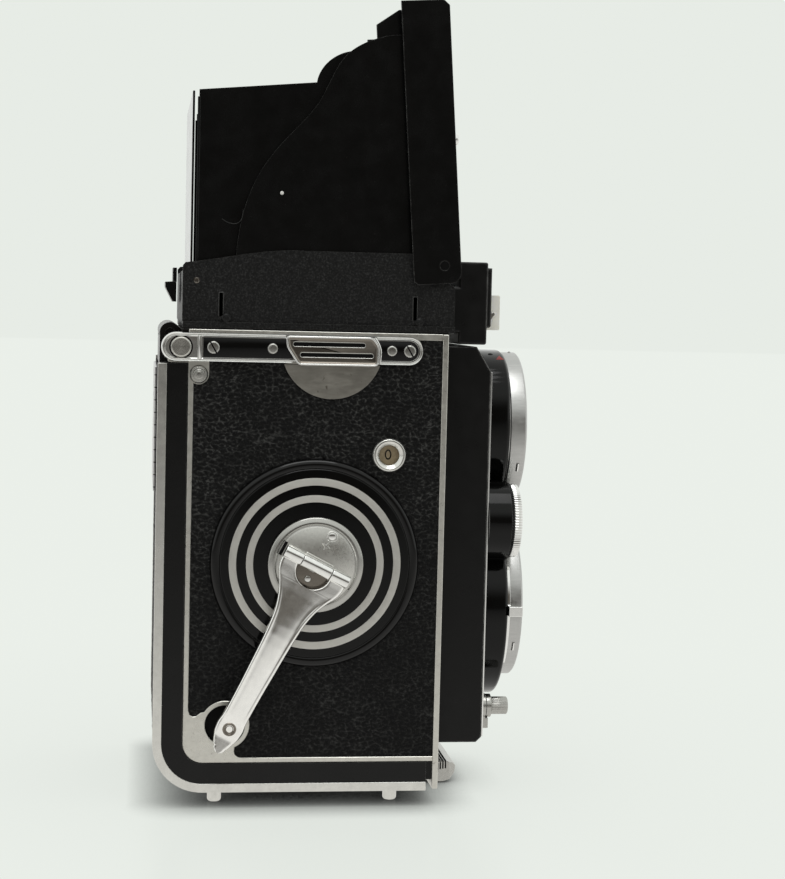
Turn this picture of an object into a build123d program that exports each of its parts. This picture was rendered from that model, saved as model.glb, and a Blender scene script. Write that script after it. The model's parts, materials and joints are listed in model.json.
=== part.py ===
from build123d import *
import math
import os

os.makedirs("parts", exist_ok=True)

# Twin lens reflex camera with its folding hood raised. Millimetres.
# Frame: X to the side (the winding crank is on -X), -Y to the front (the lenses), +Z up.
# The origin is on the tripod socket's axis, level with the soles of the feet.

# ---------------------------------------------------------------- driving dimensions
SIDE_X = 39.0           # outer face of the metal side trim
LEATHER_X = 38.8        # outer face of the side leather
CASE_X = 37.6           # outer face of the casting under trim and leather
BACK_Y = 38.8           # back face of the door's rim
BASE_Z = 4.2            # underside of the door
FRONT_Y = -38.8         # front face of the front plate
CASE_FRONT_Y = -37.2    # front face of the casting
CASE_TOP_Z = 128.6      # top of the casting
DOOR_CORNER_R = 13.5    # rounding of the door's rear bottom corner
DOOR_END_Y = -35.5      # front end of the door's bottom
DOOR_SIDE_TOP_Z = 119.5
RIM_WIDTH = 2.4         # chrome rim of the door, seen from the side
FLANGE_WIDTH = 5.5      # black side flange of the door inside the rim
TRIM_INSET = 8.1        # from the door's outline to the trim line around the leather
TRIM_WIDTH = 1.3
LEATHER_TOP_Z = 126.9

HINGE_Y, HINGE_Z, HINGE_R = 35.6, 127.4, 2.8        # door hinge along X
VIEW_Z, TAKE_Z = 102.0, 51.5                        # lens axes
FILM_Y = 26.6                                       # film plane
GATE = 56.0                                         # picture size
STANDARD_X, STANDARD_FRONT_Y = 31.0, -52.0          # lens standard
STANDARD_LOW_Z, STANDARD_TOP_Z = 15.6, 125.3
PANEL_FRONT_Y = -59.6                               # front of the lens panel
RING_FRONT_Y = -64.6                                # front of the bayonet rings
LENS_BORE_R = 17.6                                  # bore that holds each lens barrel
WHEEL_X, WHEEL_Z, WHEEL_R = 21.5, 76.6, 10.25       # setting wheels between the lenses
WHEEL_PIN_R = 1.5
RELEASE_X, RELEASE_Z, RELEASE_R = -25.0, 24.7, 2.45 # shutter release button

CRANK_Y, CRANK_Z = -3.8, 66.5                       # winding crank axis
CRANK_FACE_X = -40.2                                # outer face of the crank's escutcheon
ESCUTCHEON_R, ESCUTCHEON_STEP_R = 28.2, 25.8
CRANK_LENGTH = 49.0                                 # crank hinge to knob rivet
CRANK_ANGLE = 27.2                                  # folded arm, from straight down to the rear
POCKET_Y, POCKET_Z, POCKET_R = 19.5, 22.5, 5.4      # rest pocket of the crank knob
COUNTER_Y, COUNTER_Z = -23.25, 95.9                 # frame counter window
DIAL_Z, DIAL_R = COUNTER_Z - 5, 8.0                 # counter dial behind it
STUD_Y, STUD_Z, STUD_PIN_R = 28.0, 116.7, 1.3       # button that frees the door's hinge
FOCUS_Y, FOCUS_Z, FOCUS_R = -12.0, 60.0, 17.0       # focusing knob on the +X side
FEED_Y, FEED_Z = -6.0, 18.4                         # film spool axes
TAKEUP_Y, TAKEUP_Z = 20.0, 97.0
SPOOL_R, SPOOL_PIN_R = 11.4, 2.4
CHAMBER_X = 33.0        # half width of the spool chambers
SHAFT_R = 3.0           # crank and focusing shafts

RAIL_LOW_Z, RAIL_HIGH_Z = 120.0, 127.8              # strap rail on each side
RAIL_FRONT_Y, RAIL_REAR_Y = -31.8, 38.0
RAIL_FACE_X = SIDE_X + 1.6                          # rim of the rail

HOOD_X = 37.2           # outer face of the hood base's side walls
HOOD_REAR_Y = 32.6
LID_LENGTH, LID_DEPTH, LID_X = 74.5, 13.0, 38.6
LID_LEAN = 4.1          # open lid leans this many degrees to the rear
LID_FOOT = (0, -42.0, 142.5)                        # lid's lower front edge when open
LID_HINGE_Y, LID_HINGE_Z = -37.17, 147.0
WING_X = 35.4           # inner face of the front wings
REAR_WING_X = 33.4      # inner face of the rear wings
SHEET = 0.5             # hood sheet metal
REAR_PANEL_Y, REAR_PANEL_Z = 30.3, 140.5            # hinge of the hood's rear panel
REAR_PIN_X = 34.4                                   # half length of its pin
HINGE_PIN_R, THIN_PIN_R = 1.2, 0.5                  # door and lid pins, finder and panel pins
WELL_X, WELL_FRONT_Y, WELL_REAR_Y = 33.6, -35.0, 31.2   # opening over the focusing screen

SOCKET_R, SOCKET_DEPTH = 3.175, 6.4                 # quarter inch tripod thread
SOCKET_BOSS_R = 9.0
LATCH_Y, LATCH_Z = -29.0, 2.7                       # hinge of the back's latch

RUN = 0.05              # radial clearance of a turning or sliding fit


# ---------------------------------------------------------------- drawing helpers
def save(name, *solids):
    """Write one node: a single solid, or several separate ones."""
    shape = solids[0] if len(solids) == 1 else Compound(children=list(solids))
    export_step(shape, f"parts/{name}.step")


def polygon(*points):
    return make_face(Polyline(*points, close=True))


def block(x_low, x_high, y_low, y_high, z_low, z_high):
    size = (x_high - x_low, y_high - y_low, z_high - z_low)
    return Pos((x_low + x_high) / 2, (y_low + y_high) / 2, (z_low + z_high) / 2) * Box(*size)


def slab(face, x_low, x_high):
    """A face drawn in (Y, Z), made solid between two X planes."""
    return extrude(Plane.YZ.offset(x_low) * face, amount=x_high - x_low)


def disc_x(y, z, radius, x_low, x_high):
    return slab(Pos(y, z) * Circle(radius), x_low, x_high)


def ring_x(y, z, outer, inner, x_low, x_high):
    return slab(Pos(y, z) * (Circle(outer) - Circle(inner)), x_low, x_high)


def disc_y(x, z, radius, y_low, y_high):
    return Pos(x, (y_low + y_high) / 2, z) * Rot(90, 0, 0) * Cylinder(radius, y_high - y_low)


def ring_y(x, z, outer, inner, y_low, y_high):
    return disc_y(x, z, outer, y_low, y_high) - disc_y(x, z, inner, y_low - 1, y_high + 1)


def disc_z(x, y, radius, z_low, z_high):
    return Pos(x, y, (z_low + z_high) / 2) * Cylinder(radius, z_high - z_low)


def across(shape):
    """The same piece on the camera's other side."""
    return mirror(shape, Plane.YZ)


def bounds(y_low, y_high, z_low, z_high):
    return Pos((y_low + y_high) / 2, (z_low + z_high) / 2) * Rectangle(y_high - y_low, z_high - z_low)


def slot_face(y_low, y_high, z_low, z_high):
    """A lying stadium shape in (Y, Z)."""
    middle = Pos((y_low + y_high) / 2, (z_low + z_high) / 2)
    return middle * SlotOverall(y_high - y_low, z_high - z_low)


def door_region(inset):
    """Everything in front of and above the door's L-shaped outline, pulled in by inset."""
    rear, base, radius = BACK_Y - inset, BASE_Z + inset, DOOR_CORNER_R - inset
    face = polygon((-60, base), (rear - radius, base), (rear, base + radius), (rear, 140), (-60, 140))
    return face + Pos(rear - radius, base + radius) * Circle(radius)


def door_band(outer_inset, inner_inset, front_y, top_z):
    """An L-shaped band that follows the door's outline."""
    band = door_region(outer_inset) - door_region(inner_inset)
    return band & bounds(front_y, BACK_Y + 1, 0, top_z)


# ---------------------------------------------------------------- body casting
def casting_chambers():
    """Mirror chamber, light cone, film gate and both spool chambers."""
    mirror_room = polygon((-28.5, 129), (-28.5, 74), (-27.4, 74), (25.5, 126.9), (25.5, 129))
    feed_room = polygon((-19.5, 5), (-19.5, 26.5), (-13, 32.4), (26.5, 22.0), (40, 22.0), (40, 5))
    takeup_room = polygon((5.5, 83), (5.5, 100.5), (16.5, 111.5), (40, 111.5), (40, 83))
    cone = loft([
        Plane.XZ.offset(-FILM_Y) * Pos(0, TAKE_Z) * Rectangle(GATE, GATE),
        Plane.XZ.offset(38.2) * Pos(0, TAKE_Z) * Rectangle(30, 22),
    ])
    return [
        slab(mirror_room, -27, 27),
        slab(feed_room, -CHAMBER_X, CHAMBER_X),
        slab(takeup_room, -CHAMBER_X, CHAMBER_X),
        block(-CHAMBER_X, CHAMBER_X, 26.5, 40, 21, 84),
        cone,
        block(-20, 20, -39, -28, 84, 120),
        block(-28.7, 28.7, -30.2, 27.2, 127.2, 129),
    ]


def casting_bores():
    """Bores for the shafts, the counter dial and the crank knob's rest pocket."""
    edge = CASE_X + 0.1
    return [
        disc_x(CRANK_Y, CRANK_Z, SHAFT_R + RUN, -edge, -31),
        disc_x(POCKET_Y, POCKET_Z, POCKET_R, -edge, -34),
        disc_x(COUNTER_Y, DIAL_Z, DIAL_R + 0.3, -edge, -35.2),
        disc_x(COUNTER_Y, DIAL_Z, 1 + RUN, -edge, -33.5),
        disc_x(STUD_Y, STUD_Z, STUD_PIN_R + RUN, -edge, -33.5),
        disc_x(FOCUS_Y, FOCUS_Z, SHAFT_R + RUN, 31, edge),
        disc_x(FEED_Y, FEED_Z, SPOOL_PIN_R + RUN, 32.5, edge),
        disc_x(TAKEUP_Y, TAKEUP_Z, SPOOL_PIN_R + RUN, 32.5, edge),
        disc_x(HINGE_Y, HINGE_Z, HINGE_R + 0.3, -edge, edge),
    ]


def body_casting():
    outline = door_region(2.7) & bounds(CASE_FRONT_Y, 40, 0, CASE_TOP_Z)
    body = slab(outline, -CASE_X, CASE_X)
    for cut in casting_chambers() + casting_bores():
        body = body - cut
    knuckle = disc_x(HINGE_Y, HINGE_Z, HINGE_R, -9.8, 9.8) + block(-9.8, 9.8, 31.5, 35.6, 125.6, 127.9)
    body = body + (knuckle - disc_x(HINGE_Y, HINGE_Z, HINGE_PIN_R, -12, 12))
    # the light-tight guide that the lens standard slides over
    guide = block(-29.2, 29.2, -47, CASE_FRONT_Y, 17.4, 123.5)
    guide = guide - block(-27.4, 27.4, -48, -37, 19.2, 121.7)
    body = body + guide
    for y, z in ((FEED_Y, FEED_Z), (TAKEUP_Y, TAKEUP_Z)):
        body = body + disc_x(y, z, 2.3, -34, -29.5)
    return body


def film_rollers():
    return [disc_x(30.0, z, 2.6, -CHAMBER_X, CHAMBER_X) for z in (17.0, 86.5)]


def spool(y, z):
    core = disc_x(y, z, 5.6, -31.8, 31.8)
    for x in (-31.8, 30.6):
        core = core + disc_x(y, z, SPOOL_R, x, x + 1.2)
    return core - disc_x(y, z, SPOOL_PIN_R + RUN, -CHAMBER_X, CHAMBER_X)


def spool_knob(y, z):
    """Pull-out knob whose shaft holds the spool's end."""
    knob = disc_x(y, z, 7.0, SIDE_X + 0.3, SIDE_X + 4.8) + disc_x(y, z, 5.4, SIDE_X + 4.8, SIDE_X + 5.6)
    return knob + disc_x(y, z, SPOOL_PIN_R, 27.5, SIDE_X + 0.3)


# ---------------------------------------------------------------- side dress
def leather_face():
    return door_region(TRIM_INSET + TRIM_WIDTH) & bounds(CASE_FRONT_Y, BACK_Y, BASE_Z, LEATHER_TOP_Z)


def crank_rest_face():
    """Flared corner of the trim that frames the crank knob's pocket."""
    plate = polygon((29.8, 12.2), (29.8, 24.4), (24.6, 26.0), (POCKET_Y, POCKET_Z),
                    (15.6, 17.2), (17.4, 12.2))
    return (plate & door_region(TRIM_INSET)) + Pos(POCKET_Y, POCKET_Z) * Circle(6.6)


def stud_tab_face():
    return bounds(STUD_Y - 2.6, STUD_Y + 2.6, STUD_Z, 121) + Pos(STUD_Y, STUD_Z) * Circle(2.6)


def side_trims():
    """Trim line around each side's leather, with the crank rest and the stud's tab on one side."""
    plain = (door_region(TRIM_INSET) & bounds(CASE_FRONT_Y, 40, 0, CASE_TOP_Z)) - leather_face()
    plain = plain + bounds(30, 36.2, DOOR_SIDE_TOP_Z + 0.3, 124.2)
    crank_side = plain + crank_rest_face() + stud_tab_face()
    crank_side = crank_side - Pos(POCKET_Y, POCKET_Z) * Circle(POCKET_R)
    crank_side = crank_side - Pos(STUD_Y, STUD_Z) * Circle(STUD_PIN_R + RUN)
    return [slab(crank_side, -SIDE_X, -CASE_X), across(slab(plain, -SIDE_X, -CASE_X))]


def side_leathers():
    crank_side = leather_face() - crank_rest_face() - stud_tab_face()
    crank_side = crank_side - Pos(CRANK_Y, CRANK_Z) * Circle(ESCUTCHEON_R + RUN)
    crank_side = crank_side - Pos(COUNTER_Y, COUNTER_Z) * Circle(4.65)
    knob_side = leather_face()
    for y, z, radius in ((FOCUS_Y, FOCUS_Z, SHAFT_R + 0.3), (FEED_Y, FEED_Z, SPOOL_PIN_R + 0.4),
                         (TAKEUP_Y, TAKEUP_Z, SPOOL_PIN_R + 0.4)):
        knob_side = knob_side - Pos(y, z) * Circle(radius)
    return [slab(crank_side, -LEATHER_X, -CASE_X), across(slab(knob_side, -LEATHER_X, -CASE_X))]


def front_plate():
    plate = block(-SIDE_X, SIDE_X, FRONT_Y, CASE_FRONT_Y, 4.6, CASE_TOP_Z)
    return plate - block(-29.25, 29.25, -40, -36, 17.35, 123.55)


def strap_rail():
    full = slot_face(RAIL_FRONT_Y, RAIL_REAR_Y, RAIL_LOW_Z, RAIL_HIGH_Z)
    inner = slot_face(RAIL_FRONT_Y + 1.1, RAIL_REAR_Y - 1.1, RAIL_LOW_Z + 1.1, RAIL_HIGH_Z - 1.1)
    divider = bounds(27.4, 28.4, RAIL_LOW_Z + 0.5, RAIL_HIGH_Z - 0.5)
    return slab(full, -SIDE_X - 0.8, -SIDE_X) + slab(full - inner + divider, -RAIL_FACE_X, -SIDE_X - 0.8)


def strap_lug():
    """Slotted lug plate that the carrying strap's claw hooks on."""
    outline = polygon((5.3, 127.4), (4.9, 124.4), (1.9, 119.7), (-18.9, 119.7),
                      (-19.7, 120.5), (-19.7, 125.2), (-17.9, 127.4))
    outline = outline - slot_face(-16.0, 3.4, 124.6, 125.9) - slot_face(-18.2, 1.5, 121.8, 123.1)
    return slab(outline, -RAIL_FACE_X - 1.3, -RAIL_FACE_X)


def rail_fasteners():
    """Two slotted screws, two rivets and the rear turn button of one rail."""
    low, z = -SIDE_X - 0.8, (RAIL_LOW_Z + RAIL_HIGH_Z) / 2
    heads = [disc_x(y, z, 1.7, low - 0.7, low) for y in (24.3, -28.1)]
    heads = [head - block(low - 1, low - 0.4, -40, 40, z - 0.2, z + 0.2) for head in heads]
    heads += [disc_x(y, z, 1.5, low - 0.6, low) for y in (8.6, -23.25)]
    heads.append(disc_x(32.8, z, 2.75, low - 1.0, low))
    return heads


def wear_plate():
    """Polished segment that keeps the strap's claw off the leather."""
    segment = Pos(-7.4, 124.3) * Circle(13.6) & bounds(-30, 30, 100, 119.8)
    return slab(segment, -LEATHER_X - 0.35, -LEATHER_X)


# ---------------------------------------------------------------- winding crank
CRANK_PLANE = Plane(
    origin=(CRANK_FACE_X - 0.15, CRANK_Y, CRANK_Z),
    x_dir=(0, math.sin(math.radians(CRANK_ANGLE)), -math.cos(math.radians(CRANK_ANGLE))),
    z_dir=(-1, 0, 0),
)
BAR_H, BAR_R = 5.2, 1.8                             # crank hinge above the hub's base
FORK_T, CRANK_PIN_R, RIVET_R = 9.45, 0.7, 0.9       # half width of the fork, its pin, the knob's rivet
ARM_LOW, ARM_HIGH, ARM_HEAD_R = 4.3, 6.0, 4.4


def crank_escutcheon():
    disc = disc_x(CRANK_Y, CRANK_Z, ESCUTCHEON_R, -39.8, -CASE_X)
    disc = disc + disc_x(CRANK_Y, CRANK_Z, ESCUTCHEON_STEP_R, CRANK_FACE_X, -39.8)
    return disc - disc_x(CRANK_Y, CRANK_Z, SHAFT_R + 0.4, -41, -37)


def escutcheon_rings():
    pairs = ((23.1, 21.1), (18.5, 16.6))
    return [ring_x(CRANK_Y, CRANK_Z, big, small, CRANK_FACE_X - 0.3, CRANK_FACE_X) for big, small in pairs]


def crank_bar(t_low, t_high, radius):
    """A rod on the crank's hinge axis, in crank coordinates."""
    return Pos(0, (t_low + t_high) / 2, BAR_H) * Rot(90, 0, 0) * Cylinder(radius, t_high - t_low)


def crank_hub():
    hub = Pos(0, 0, 1.0) * Cylinder(12.8, 2.0)
    hub = hub + Pos(0, 0, 2.5) * Cone(12.8, 10.7, 1.0)
    hub = hub + Pos(0, 0, 4.0) * Box(3.2, 8.3, 2.4) + crank_bar(-4.15, 4.15, BAR_R)
    hub = hub - crank_bar(-6, 6, CRANK_PIN_R + RUN)
    axle = Pos(0, 0, -4.5) * Cylinder(SHAFT_R, 9.0)
    return CRANK_PLANE * (hub + axle)


def crank_outline():
    """Plan of the arm: two fork legs, waist, round head and a short nose."""
    s = CRANK_LENGTH
    left = [(0, FORK_T), (5.5, 9.2), (10, 6.4), (15, 4.7), (24, 4.0), (36, 3.8), (s - 2, 4.1)]
    edge = Spline(*left)
    other = Spline(*[(x, -y) for x, y in reversed(left)])
    arm = make_face(edge + Line(edge @ 1, other @ 0) + other + Line(other @ 1, edge @ 0))
    nose = polygon((s - 1, 4.0), (s + 5.2, 2.0), (s + 6.6, 1.2),
                   (s + 6.6, -1.2), (s + 5.2, -2.0), (s - 1, -4.0))
    arm = arm + Pos(s, 0) * Circle(ARM_HEAD_R) + nose
    return arm - Pos(2, 0) * Circle(4.4) - Pos(-0.5, 0) * Rectangle(5, 8.8)


def crank_arm():
    arm = Pos(0, 0, ARM_LOW) * extrude(crank_outline(), amount=ARM_HIGH - ARM_LOW)
    for low, high in ((-FORK_T, -4.4), (4.4, FORK_T)):
        arm = arm + crank_bar(low, high, BAR_R)
    arm = arm + crank_bar(-FORK_T, FORK_T, CRANK_PIN_R)
    rivet = Pos(CRANK_LENGTH, 0, 3.4) * Cylinder(RIVET_R, 6.4)
    return CRANK_PLANE * (arm + rivet)


def crank_knob():
    knob = Pos(CRANK_LENGTH, 0, 2.2) * (Cylinder(3.4, 3.8) - Cylinder(RIVET_R + RUN, 5))
    return CRANK_PLANE * knob


def counter_bezel():
    bezel = slab(Pos(COUNTER_Y, COUNTER_Z) * (Circle(4.6) - Circle(2.6)), -40.4, -CASE_X)
    dish = Pos(-40.0, COUNTER_Y, COUNTER_Z) * Rot(0, 90, 0) * Cone(2.6, 4.0, 0.9)
    return bezel - mirror(dish, Plane.YZ.offset(-40.0))


def counter_dial():
    dial = disc_x(COUNTER_Y, DIAL_Z, DIAL_R, -37.0, -36.2)
    return dial + disc_x(COUNTER_Y, DIAL_Z, 1.0, -36.2, -33.8)


def hinge_release_button():
    stud = disc_x(STUD_Y, STUD_Z, 2.5, -SIDE_X - 1.6, -SIDE_X - 0.9)
    return stud + disc_x(STUD_Y, STUD_Z, STUD_PIN_R, -SIDE_X - 0.9, -35.0)


# ---------------------------------------------------------------- back door
def door_cut_for_knuckles():
    return disc_x(HINGE_Y, HINGE_Z, HINGE_R + 0.15, -10.1, 10.1)


def back_door():
    skin = slab(door_band(0.5, RIM_WIDTH, DOOR_END_Y, DOOR_SIDE_TOP_Z), -CASE_X - 0.4, CASE_X + 0.4)
    tongue = block(-30, 30, BACK_Y - RIM_WIDTH, BACK_Y - 0.5, DOOR_SIDE_TOP_Z - 1, HINGE_Z)
    knuckles = disc_x(HINGE_Y, HINGE_Z, HINGE_R, -30, 30)
    door = skin + tongue + knuckles - door_cut_for_knuckles()
    door = door - disc_x(HINGE_Y, HINGE_Z, HINGE_PIN_R + RUN, -40, 40)
    flange = door_band(0.5, RIM_WIDTH + FLANGE_WIDTH, DOOR_END_Y, DOOR_SIDE_TOP_Z)
    for side in (slab(flange, -LEATHER_X, -CASE_X - 0.2), slab(flange, CASE_X + 0.2, LEATHER_X)):
        door = door + side
    return door - disc_z(0, 0, 5.0, 2, 8) + latch_ears()


def door_rim():
    """Bright rim: a strip on the door's side edge with a lip around its corner."""
    strip = slab(door_band(0, RIM_WIDTH, DOOR_END_Y, DOOR_SIDE_TOP_Z), -SIDE_X - 0.2, -LEATHER_X)
    lip = slab(door_band(0, 0.5, DOOR_END_Y, DOOR_SIDE_TOP_Z), -LEATHER_X, -CASE_X + 0.6)
    return strip + lip


def back_leather():
    return block(-36.9, 36.9, BACK_Y - 0.5, BACK_Y, 19, 118.5)


def exposure_guide():
    return block(-24, 24, BACK_Y, BACK_Y + 0.7, 84, 118)


def pressure_plate():
    """Plate that holds the film flat, with two bowed leaf springs on its back."""
    plate = block(-30, 30, 27.4, 28.6, 22.5, 81)
    for x in (-18, 18):
        bow = Pos(26.6, TAKE_Z) * (Circle(9.0) - Circle(8.6)) & bounds(28.4, 50, 0, 140)
        plate = plate + slab(bow, x - 4, x + 4)
    return plate


def tripod_socket():
    boss = disc_z(0, 0, SOCKET_BOSS_R, 0, BASE_Z) + disc_z(0, 0, 4.9, BASE_Z, SOCKET_DEPTH)
    return boss - disc_z(0, 0, SOCKET_R, -1, SOCKET_DEPTH + 1)


def back_lock_ring():
    ring = disc_z(0, 0, 13.0, 1.8, BASE_Z - 0.1) - disc_z(0, 0, SOCKET_BOSS_R + RUN, 1, 5)
    tab = block(-3, 3, 12, 17, 1.8, BASE_Z - 0.1)
    return ring + (tab & disc_z(0, 0, 17, 0, 5))


def back_latch():
    """Spring latch under the door's front end, with a half-round serrated thumb tab."""
    arm = bounds(-39.3, LATCH_Y, 2.3, 3.5)
    tab = polygon((-38.9, 0.9), (-38.9, 4.3), (-41.6, 6.4), (-44.0, 7.8), (-46.2, 8.0), (-48.4, 6.6),
                  (-49.5, 4.3), (-49.2, 2.4), (-47.6, 0.9), (-45.5, 0.3), (-41.5, 0.3))
    latch = slab(arm + Pos(LATCH_Y, LATCH_Z) * Circle(1.3), -12, 12) + slab(tab, -14, 14)
    latch = latch & Pos(0, -33, 3) * Cylinder(20, 20)
    return latch - disc_x(LATCH_Y, LATCH_Z, THIN_PIN_R + RUN, -15, 15)


def latch_ears():
    """Hinge ears and pin of the latch, fixed under the door."""
    ears = disc_x(LATCH_Y, LATCH_Z, THIN_PIN_R, -13.6, 13.6)
    for x in (-13.7, 12.3):
        ears = ears + block(x, x + 1.4, LATCH_Y - 1.4, LATCH_Y + 1.4, 1.3, BASE_Z + 0.3)
    return ears


def feet():
    return [disc_z(x, y, 1.9, 0, BASE_Z) for x in (-31, 31) for y in (21.75, -26.6)]


# ---------------------------------------------------------------- lenses
def standard_profile(inset):
    front, low, top = STANDARD_FRONT_Y + inset, STANDARD_LOW_Z + inset, STANDARD_TOP_Z - inset
    slope = 0.45 * inset
    return polygon((-38.9, low), (front + 1.5, low), (front, low + 1.5), (front, 118.6 - slope),
                   (-48.2 + slope, top), (-38.9, top))


def lens_standard():
    shell = slab(standard_profile(0), -STANDARD_X, STANDARD_X)
    hollow = slab(standard_profile(1.5), 1.5 - STANDARD_X, STANDARD_X - 1.5)
    shell = shell - hollow - block(1.5 - STANDARD_X, STANDARD_X - 1.5, -45, -38, 17.1, 123.8)
    for z in (VIEW_Z, TAKE_Z):
        shell = shell - disc_y(0, z, LENS_BORE_R, -60, -45)
    return shell - disc_y(RELEASE_X, RELEASE_Z, RELEASE_R + RUN, -60, -45)


def panel_trim():
    """Thin bright edging around the standard's front."""
    frame = block(-STANDARD_X, STANDARD_X, STANDARD_FRONT_Y - 0.4, STANDARD_FRONT_Y, 17.2, 118.5)
    return frame - block(-30.2, 30.2, -54, -51, 18.0, 117.7) - disc_y(0, VIEW_Z, 22.1, -54, -51)


def lens_panel():
    """Figure-eight panel with a round boss behind each setting wheel."""
    back = STANDARD_FRONT_Y
    panel = disc_y(0, VIEW_Z, 22.0, PANEL_FRONT_Y, back) + disc_y(0, TAKE_Z - 1.2, 26.5, PANEL_FRONT_Y, back)
    front_edges = panel.edges().group_by(Axis.Y)[0]
    panel = fillet(front_edges, 1.2)
    panel = panel + block(-16, 16, -59.0, back, 68, 90)
    for x in (-WHEEL_X, WHEEL_X):
        panel = panel + disc_y(x, WHEEL_Z, 11.2, -58.8, back - 0.45)
    for z in (VIEW_Z, TAKE_Z):
        panel = panel - disc_y(0, z, LENS_BORE_R, -62, -50)
    for x in (-WHEEL_X, WHEEL_X):
        panel = panel - disc_y(x, WHEEL_Z, 10.9, -62, -58.8) - disc_y(x, WHEEL_Z, WHEEL_PIN_R + RUN, -60, -54)
    return panel


def bayonet(z, outer):
    ring = ring_y(0, z, outer, LENS_BORE_R, RING_FRONT_Y, PANEL_FRONT_Y)
    ring = ring - ring_y(0, z, outer + 1, outer - 0.5, -62.6, -62.0)
    return ring


def lens_barrel(z):
    tube = ring_y(0, z, LENS_BORE_R - 0.1, 14.2, -63.6, -43.5)
    return tube - disc_y(0, z, 15.6, -65, -61.4)


def lens_glass(z):
    front = disc_y(0, z, 15.5, -65.0, -61.5) & Pos(0, -26, z) * Rot(90, 0, 0) * Sphere(37)
    rear = disc_y(0, z, 14.1, -47.5, -42.0) & Pos(0, -72, z) * Rot(90, 0, 0) * Sphere(27.6)
    return [front, rear]


def setting_wheel(x):
    wheel = disc_y(x, WHEEL_Z, WHEEL_R, -61.9, -59.7) + disc_y(x, WHEEL_Z, 10.6, -59.7, -58.9)
    return wheel + disc_y(x, WHEEL_Z, WHEEL_PIN_R, -59, -54.5)


def release_collar():
    return ring_y(RELEASE_X, RELEASE_Z, 3.2, RELEASE_R + RUN, -55.3, -53.9)


def release_lock_lever():
    ring = ring_y(RELEASE_X, RELEASE_Z, 3.4, RELEASE_R + RUN, -53.8, STANDARD_FRONT_Y - 0.1)
    tab = block(RELEASE_X - 1.8, RELEASE_X + 1.8, -54.6, -52.9, 18.6, RELEASE_Z - 3.25)
    link = block(RELEASE_X - 1.8, RELEASE_X + 1.8, -53.8, -52.9, RELEASE_Z - 3.3, RELEASE_Z - 2.7)
    return ring + tab + link


def shutter_button():
    return disc_y(RELEASE_X, RELEASE_Z, RELEASE_R, -60.1, -50.2)


def self_timer_lever():
    """Arc lever under the taking ring, with a small thumb tab."""
    ring = ring_y(0, TAKE_Z, 24.4, 22.4, -60.6, -59.7)
    sector = Pos(0, 0, TAKE_Z) * block(-30, -14, -61, -59, -16, 12)
    arc = ring & sector
    tab = block(-27.2, -23.6, -63.6, -59.7, TAKE_Z - 1.4, TAKE_Z + 1.4)
    return arc + tab


# ---------------------------------------------------------------- light meter
def meter_housing():
    main = block(-30, 30, -50.6, -42.8, 125.9, 148.4)
    main = main + block(-29, 29, -52.0, -50.6, 130.6, 146.9)
    foot = block(-30, 30, -42.8, -40.7, 129.2, 141.4)
    return main + foot - block(-24.2, 24.2, -53, -50.8, 131, 139.7)


def meter_window():
    return block(-24, 24, -54.7, -50.9, 131.2, 139.5)


# ---------------------------------------------------------------- hood
def hood_wall_face():
    """Side wall of the hood base: low at the rear, curving up to level."""
    top = Spline((31.9, 146.2), (25, 147.2), (17, 148.6), (9, 149.7), (0, 150.0))
    rest = Polyline((0, 150.0), (-35, 150.0), (-38.6, 148.6), (-38.9, 142.0), (-40.4, 141.2), (-40.4, 130.6),
                    (HOOD_REAR_Y, 130.6), (HOOD_REAR_Y, 145.4), (31.9, 146.2))
    return make_face(top + rest)


def hood_base():
    wall = slab(hood_wall_face(), -HOOD_X, -HOOD_X + 1)
    well = block(-WELL_X, WELL_X, WELL_FRONT_Y, WELL_REAR_Y, 128, 131)
    base = wall + across(wall)
    base = base + block(-HOOD_X, HOOD_X, 31.6, HOOD_REAR_Y, 130.6, 144)
    base = base + block(-HOOD_X, HOOD_X, -40.4, -39.4, 130.6, 141.2)
    flange = block(-37.9, 37.9, -40.5, HOOD_REAR_Y - 0.2, 129.0, 130.6)
    base = base + flange - well
    base = base + block(-HOOD_X, HOOD_X, FRONT_Y, HOOD_REAR_Y - 0.4, CASE_TOP_Z, 129.2)
    base = base - well
    # raised ribs on each side wall
    for y in (22.4, -29.6):
        rib = block(-HOOD_X - 0.3, -HOOD_X, y - 0.5, y + 0.5, 131, 138.4)
        base = base + rib + across(rib)
    # inner ears that hold the rear panel's pin, clear of the closing lid's cheeks
    ear = block(REAR_PIN_X - 0.7, REAR_PIN_X, REAR_PANEL_Y - 1.1, REAR_PANEL_Y + 1.1, 130, REAR_PANEL_Z + 1.1)
    base = base + ear + across(ear)
    lid_bore = disc_x(LID_HINGE_Y, LID_HINGE_Z, HINGE_PIN_R, -HOOD_X - 0.1, HOOD_X + 0.1)
    return base - lid_bore - disc_x(REAR_PANEL_Y, REAR_PANEL_Z, THIN_PIN_R, -REAR_PIN_X, REAR_PIN_X)


def hinge_pins():
    """Door hinge pin, the two lid pins and the rear panel's pin."""
    lid_pin = disc_x(LID_HINGE_Y, LID_HINGE_Z, HINGE_PIN_R, -LID_X + 0.1, -34.6)
    return [
        disc_x(HINGE_Y, HINGE_Z, HINGE_PIN_R, -30, 30),
        lid_pin,
        across(lid_pin),
        disc_x(REAR_PANEL_Y, REAR_PANEL_Z, THIN_PIN_R, -REAR_PIN_X, REAR_PIN_X),
    ]


def screen_frame():
    gap = 0.3
    frame = block(gap - WELL_X, WELL_X - gap, WELL_FRONT_Y + gap, WELL_REAR_Y - gap, CASE_TOP_Z, 130.4)
    return frame - block(-27.5, 27.5, -29, 26, 128, 131)


def focusing_screen():
    return block(-28.5, 28.5, -30.0, 27.0, 127.2, CASE_TOP_Z)


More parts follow.
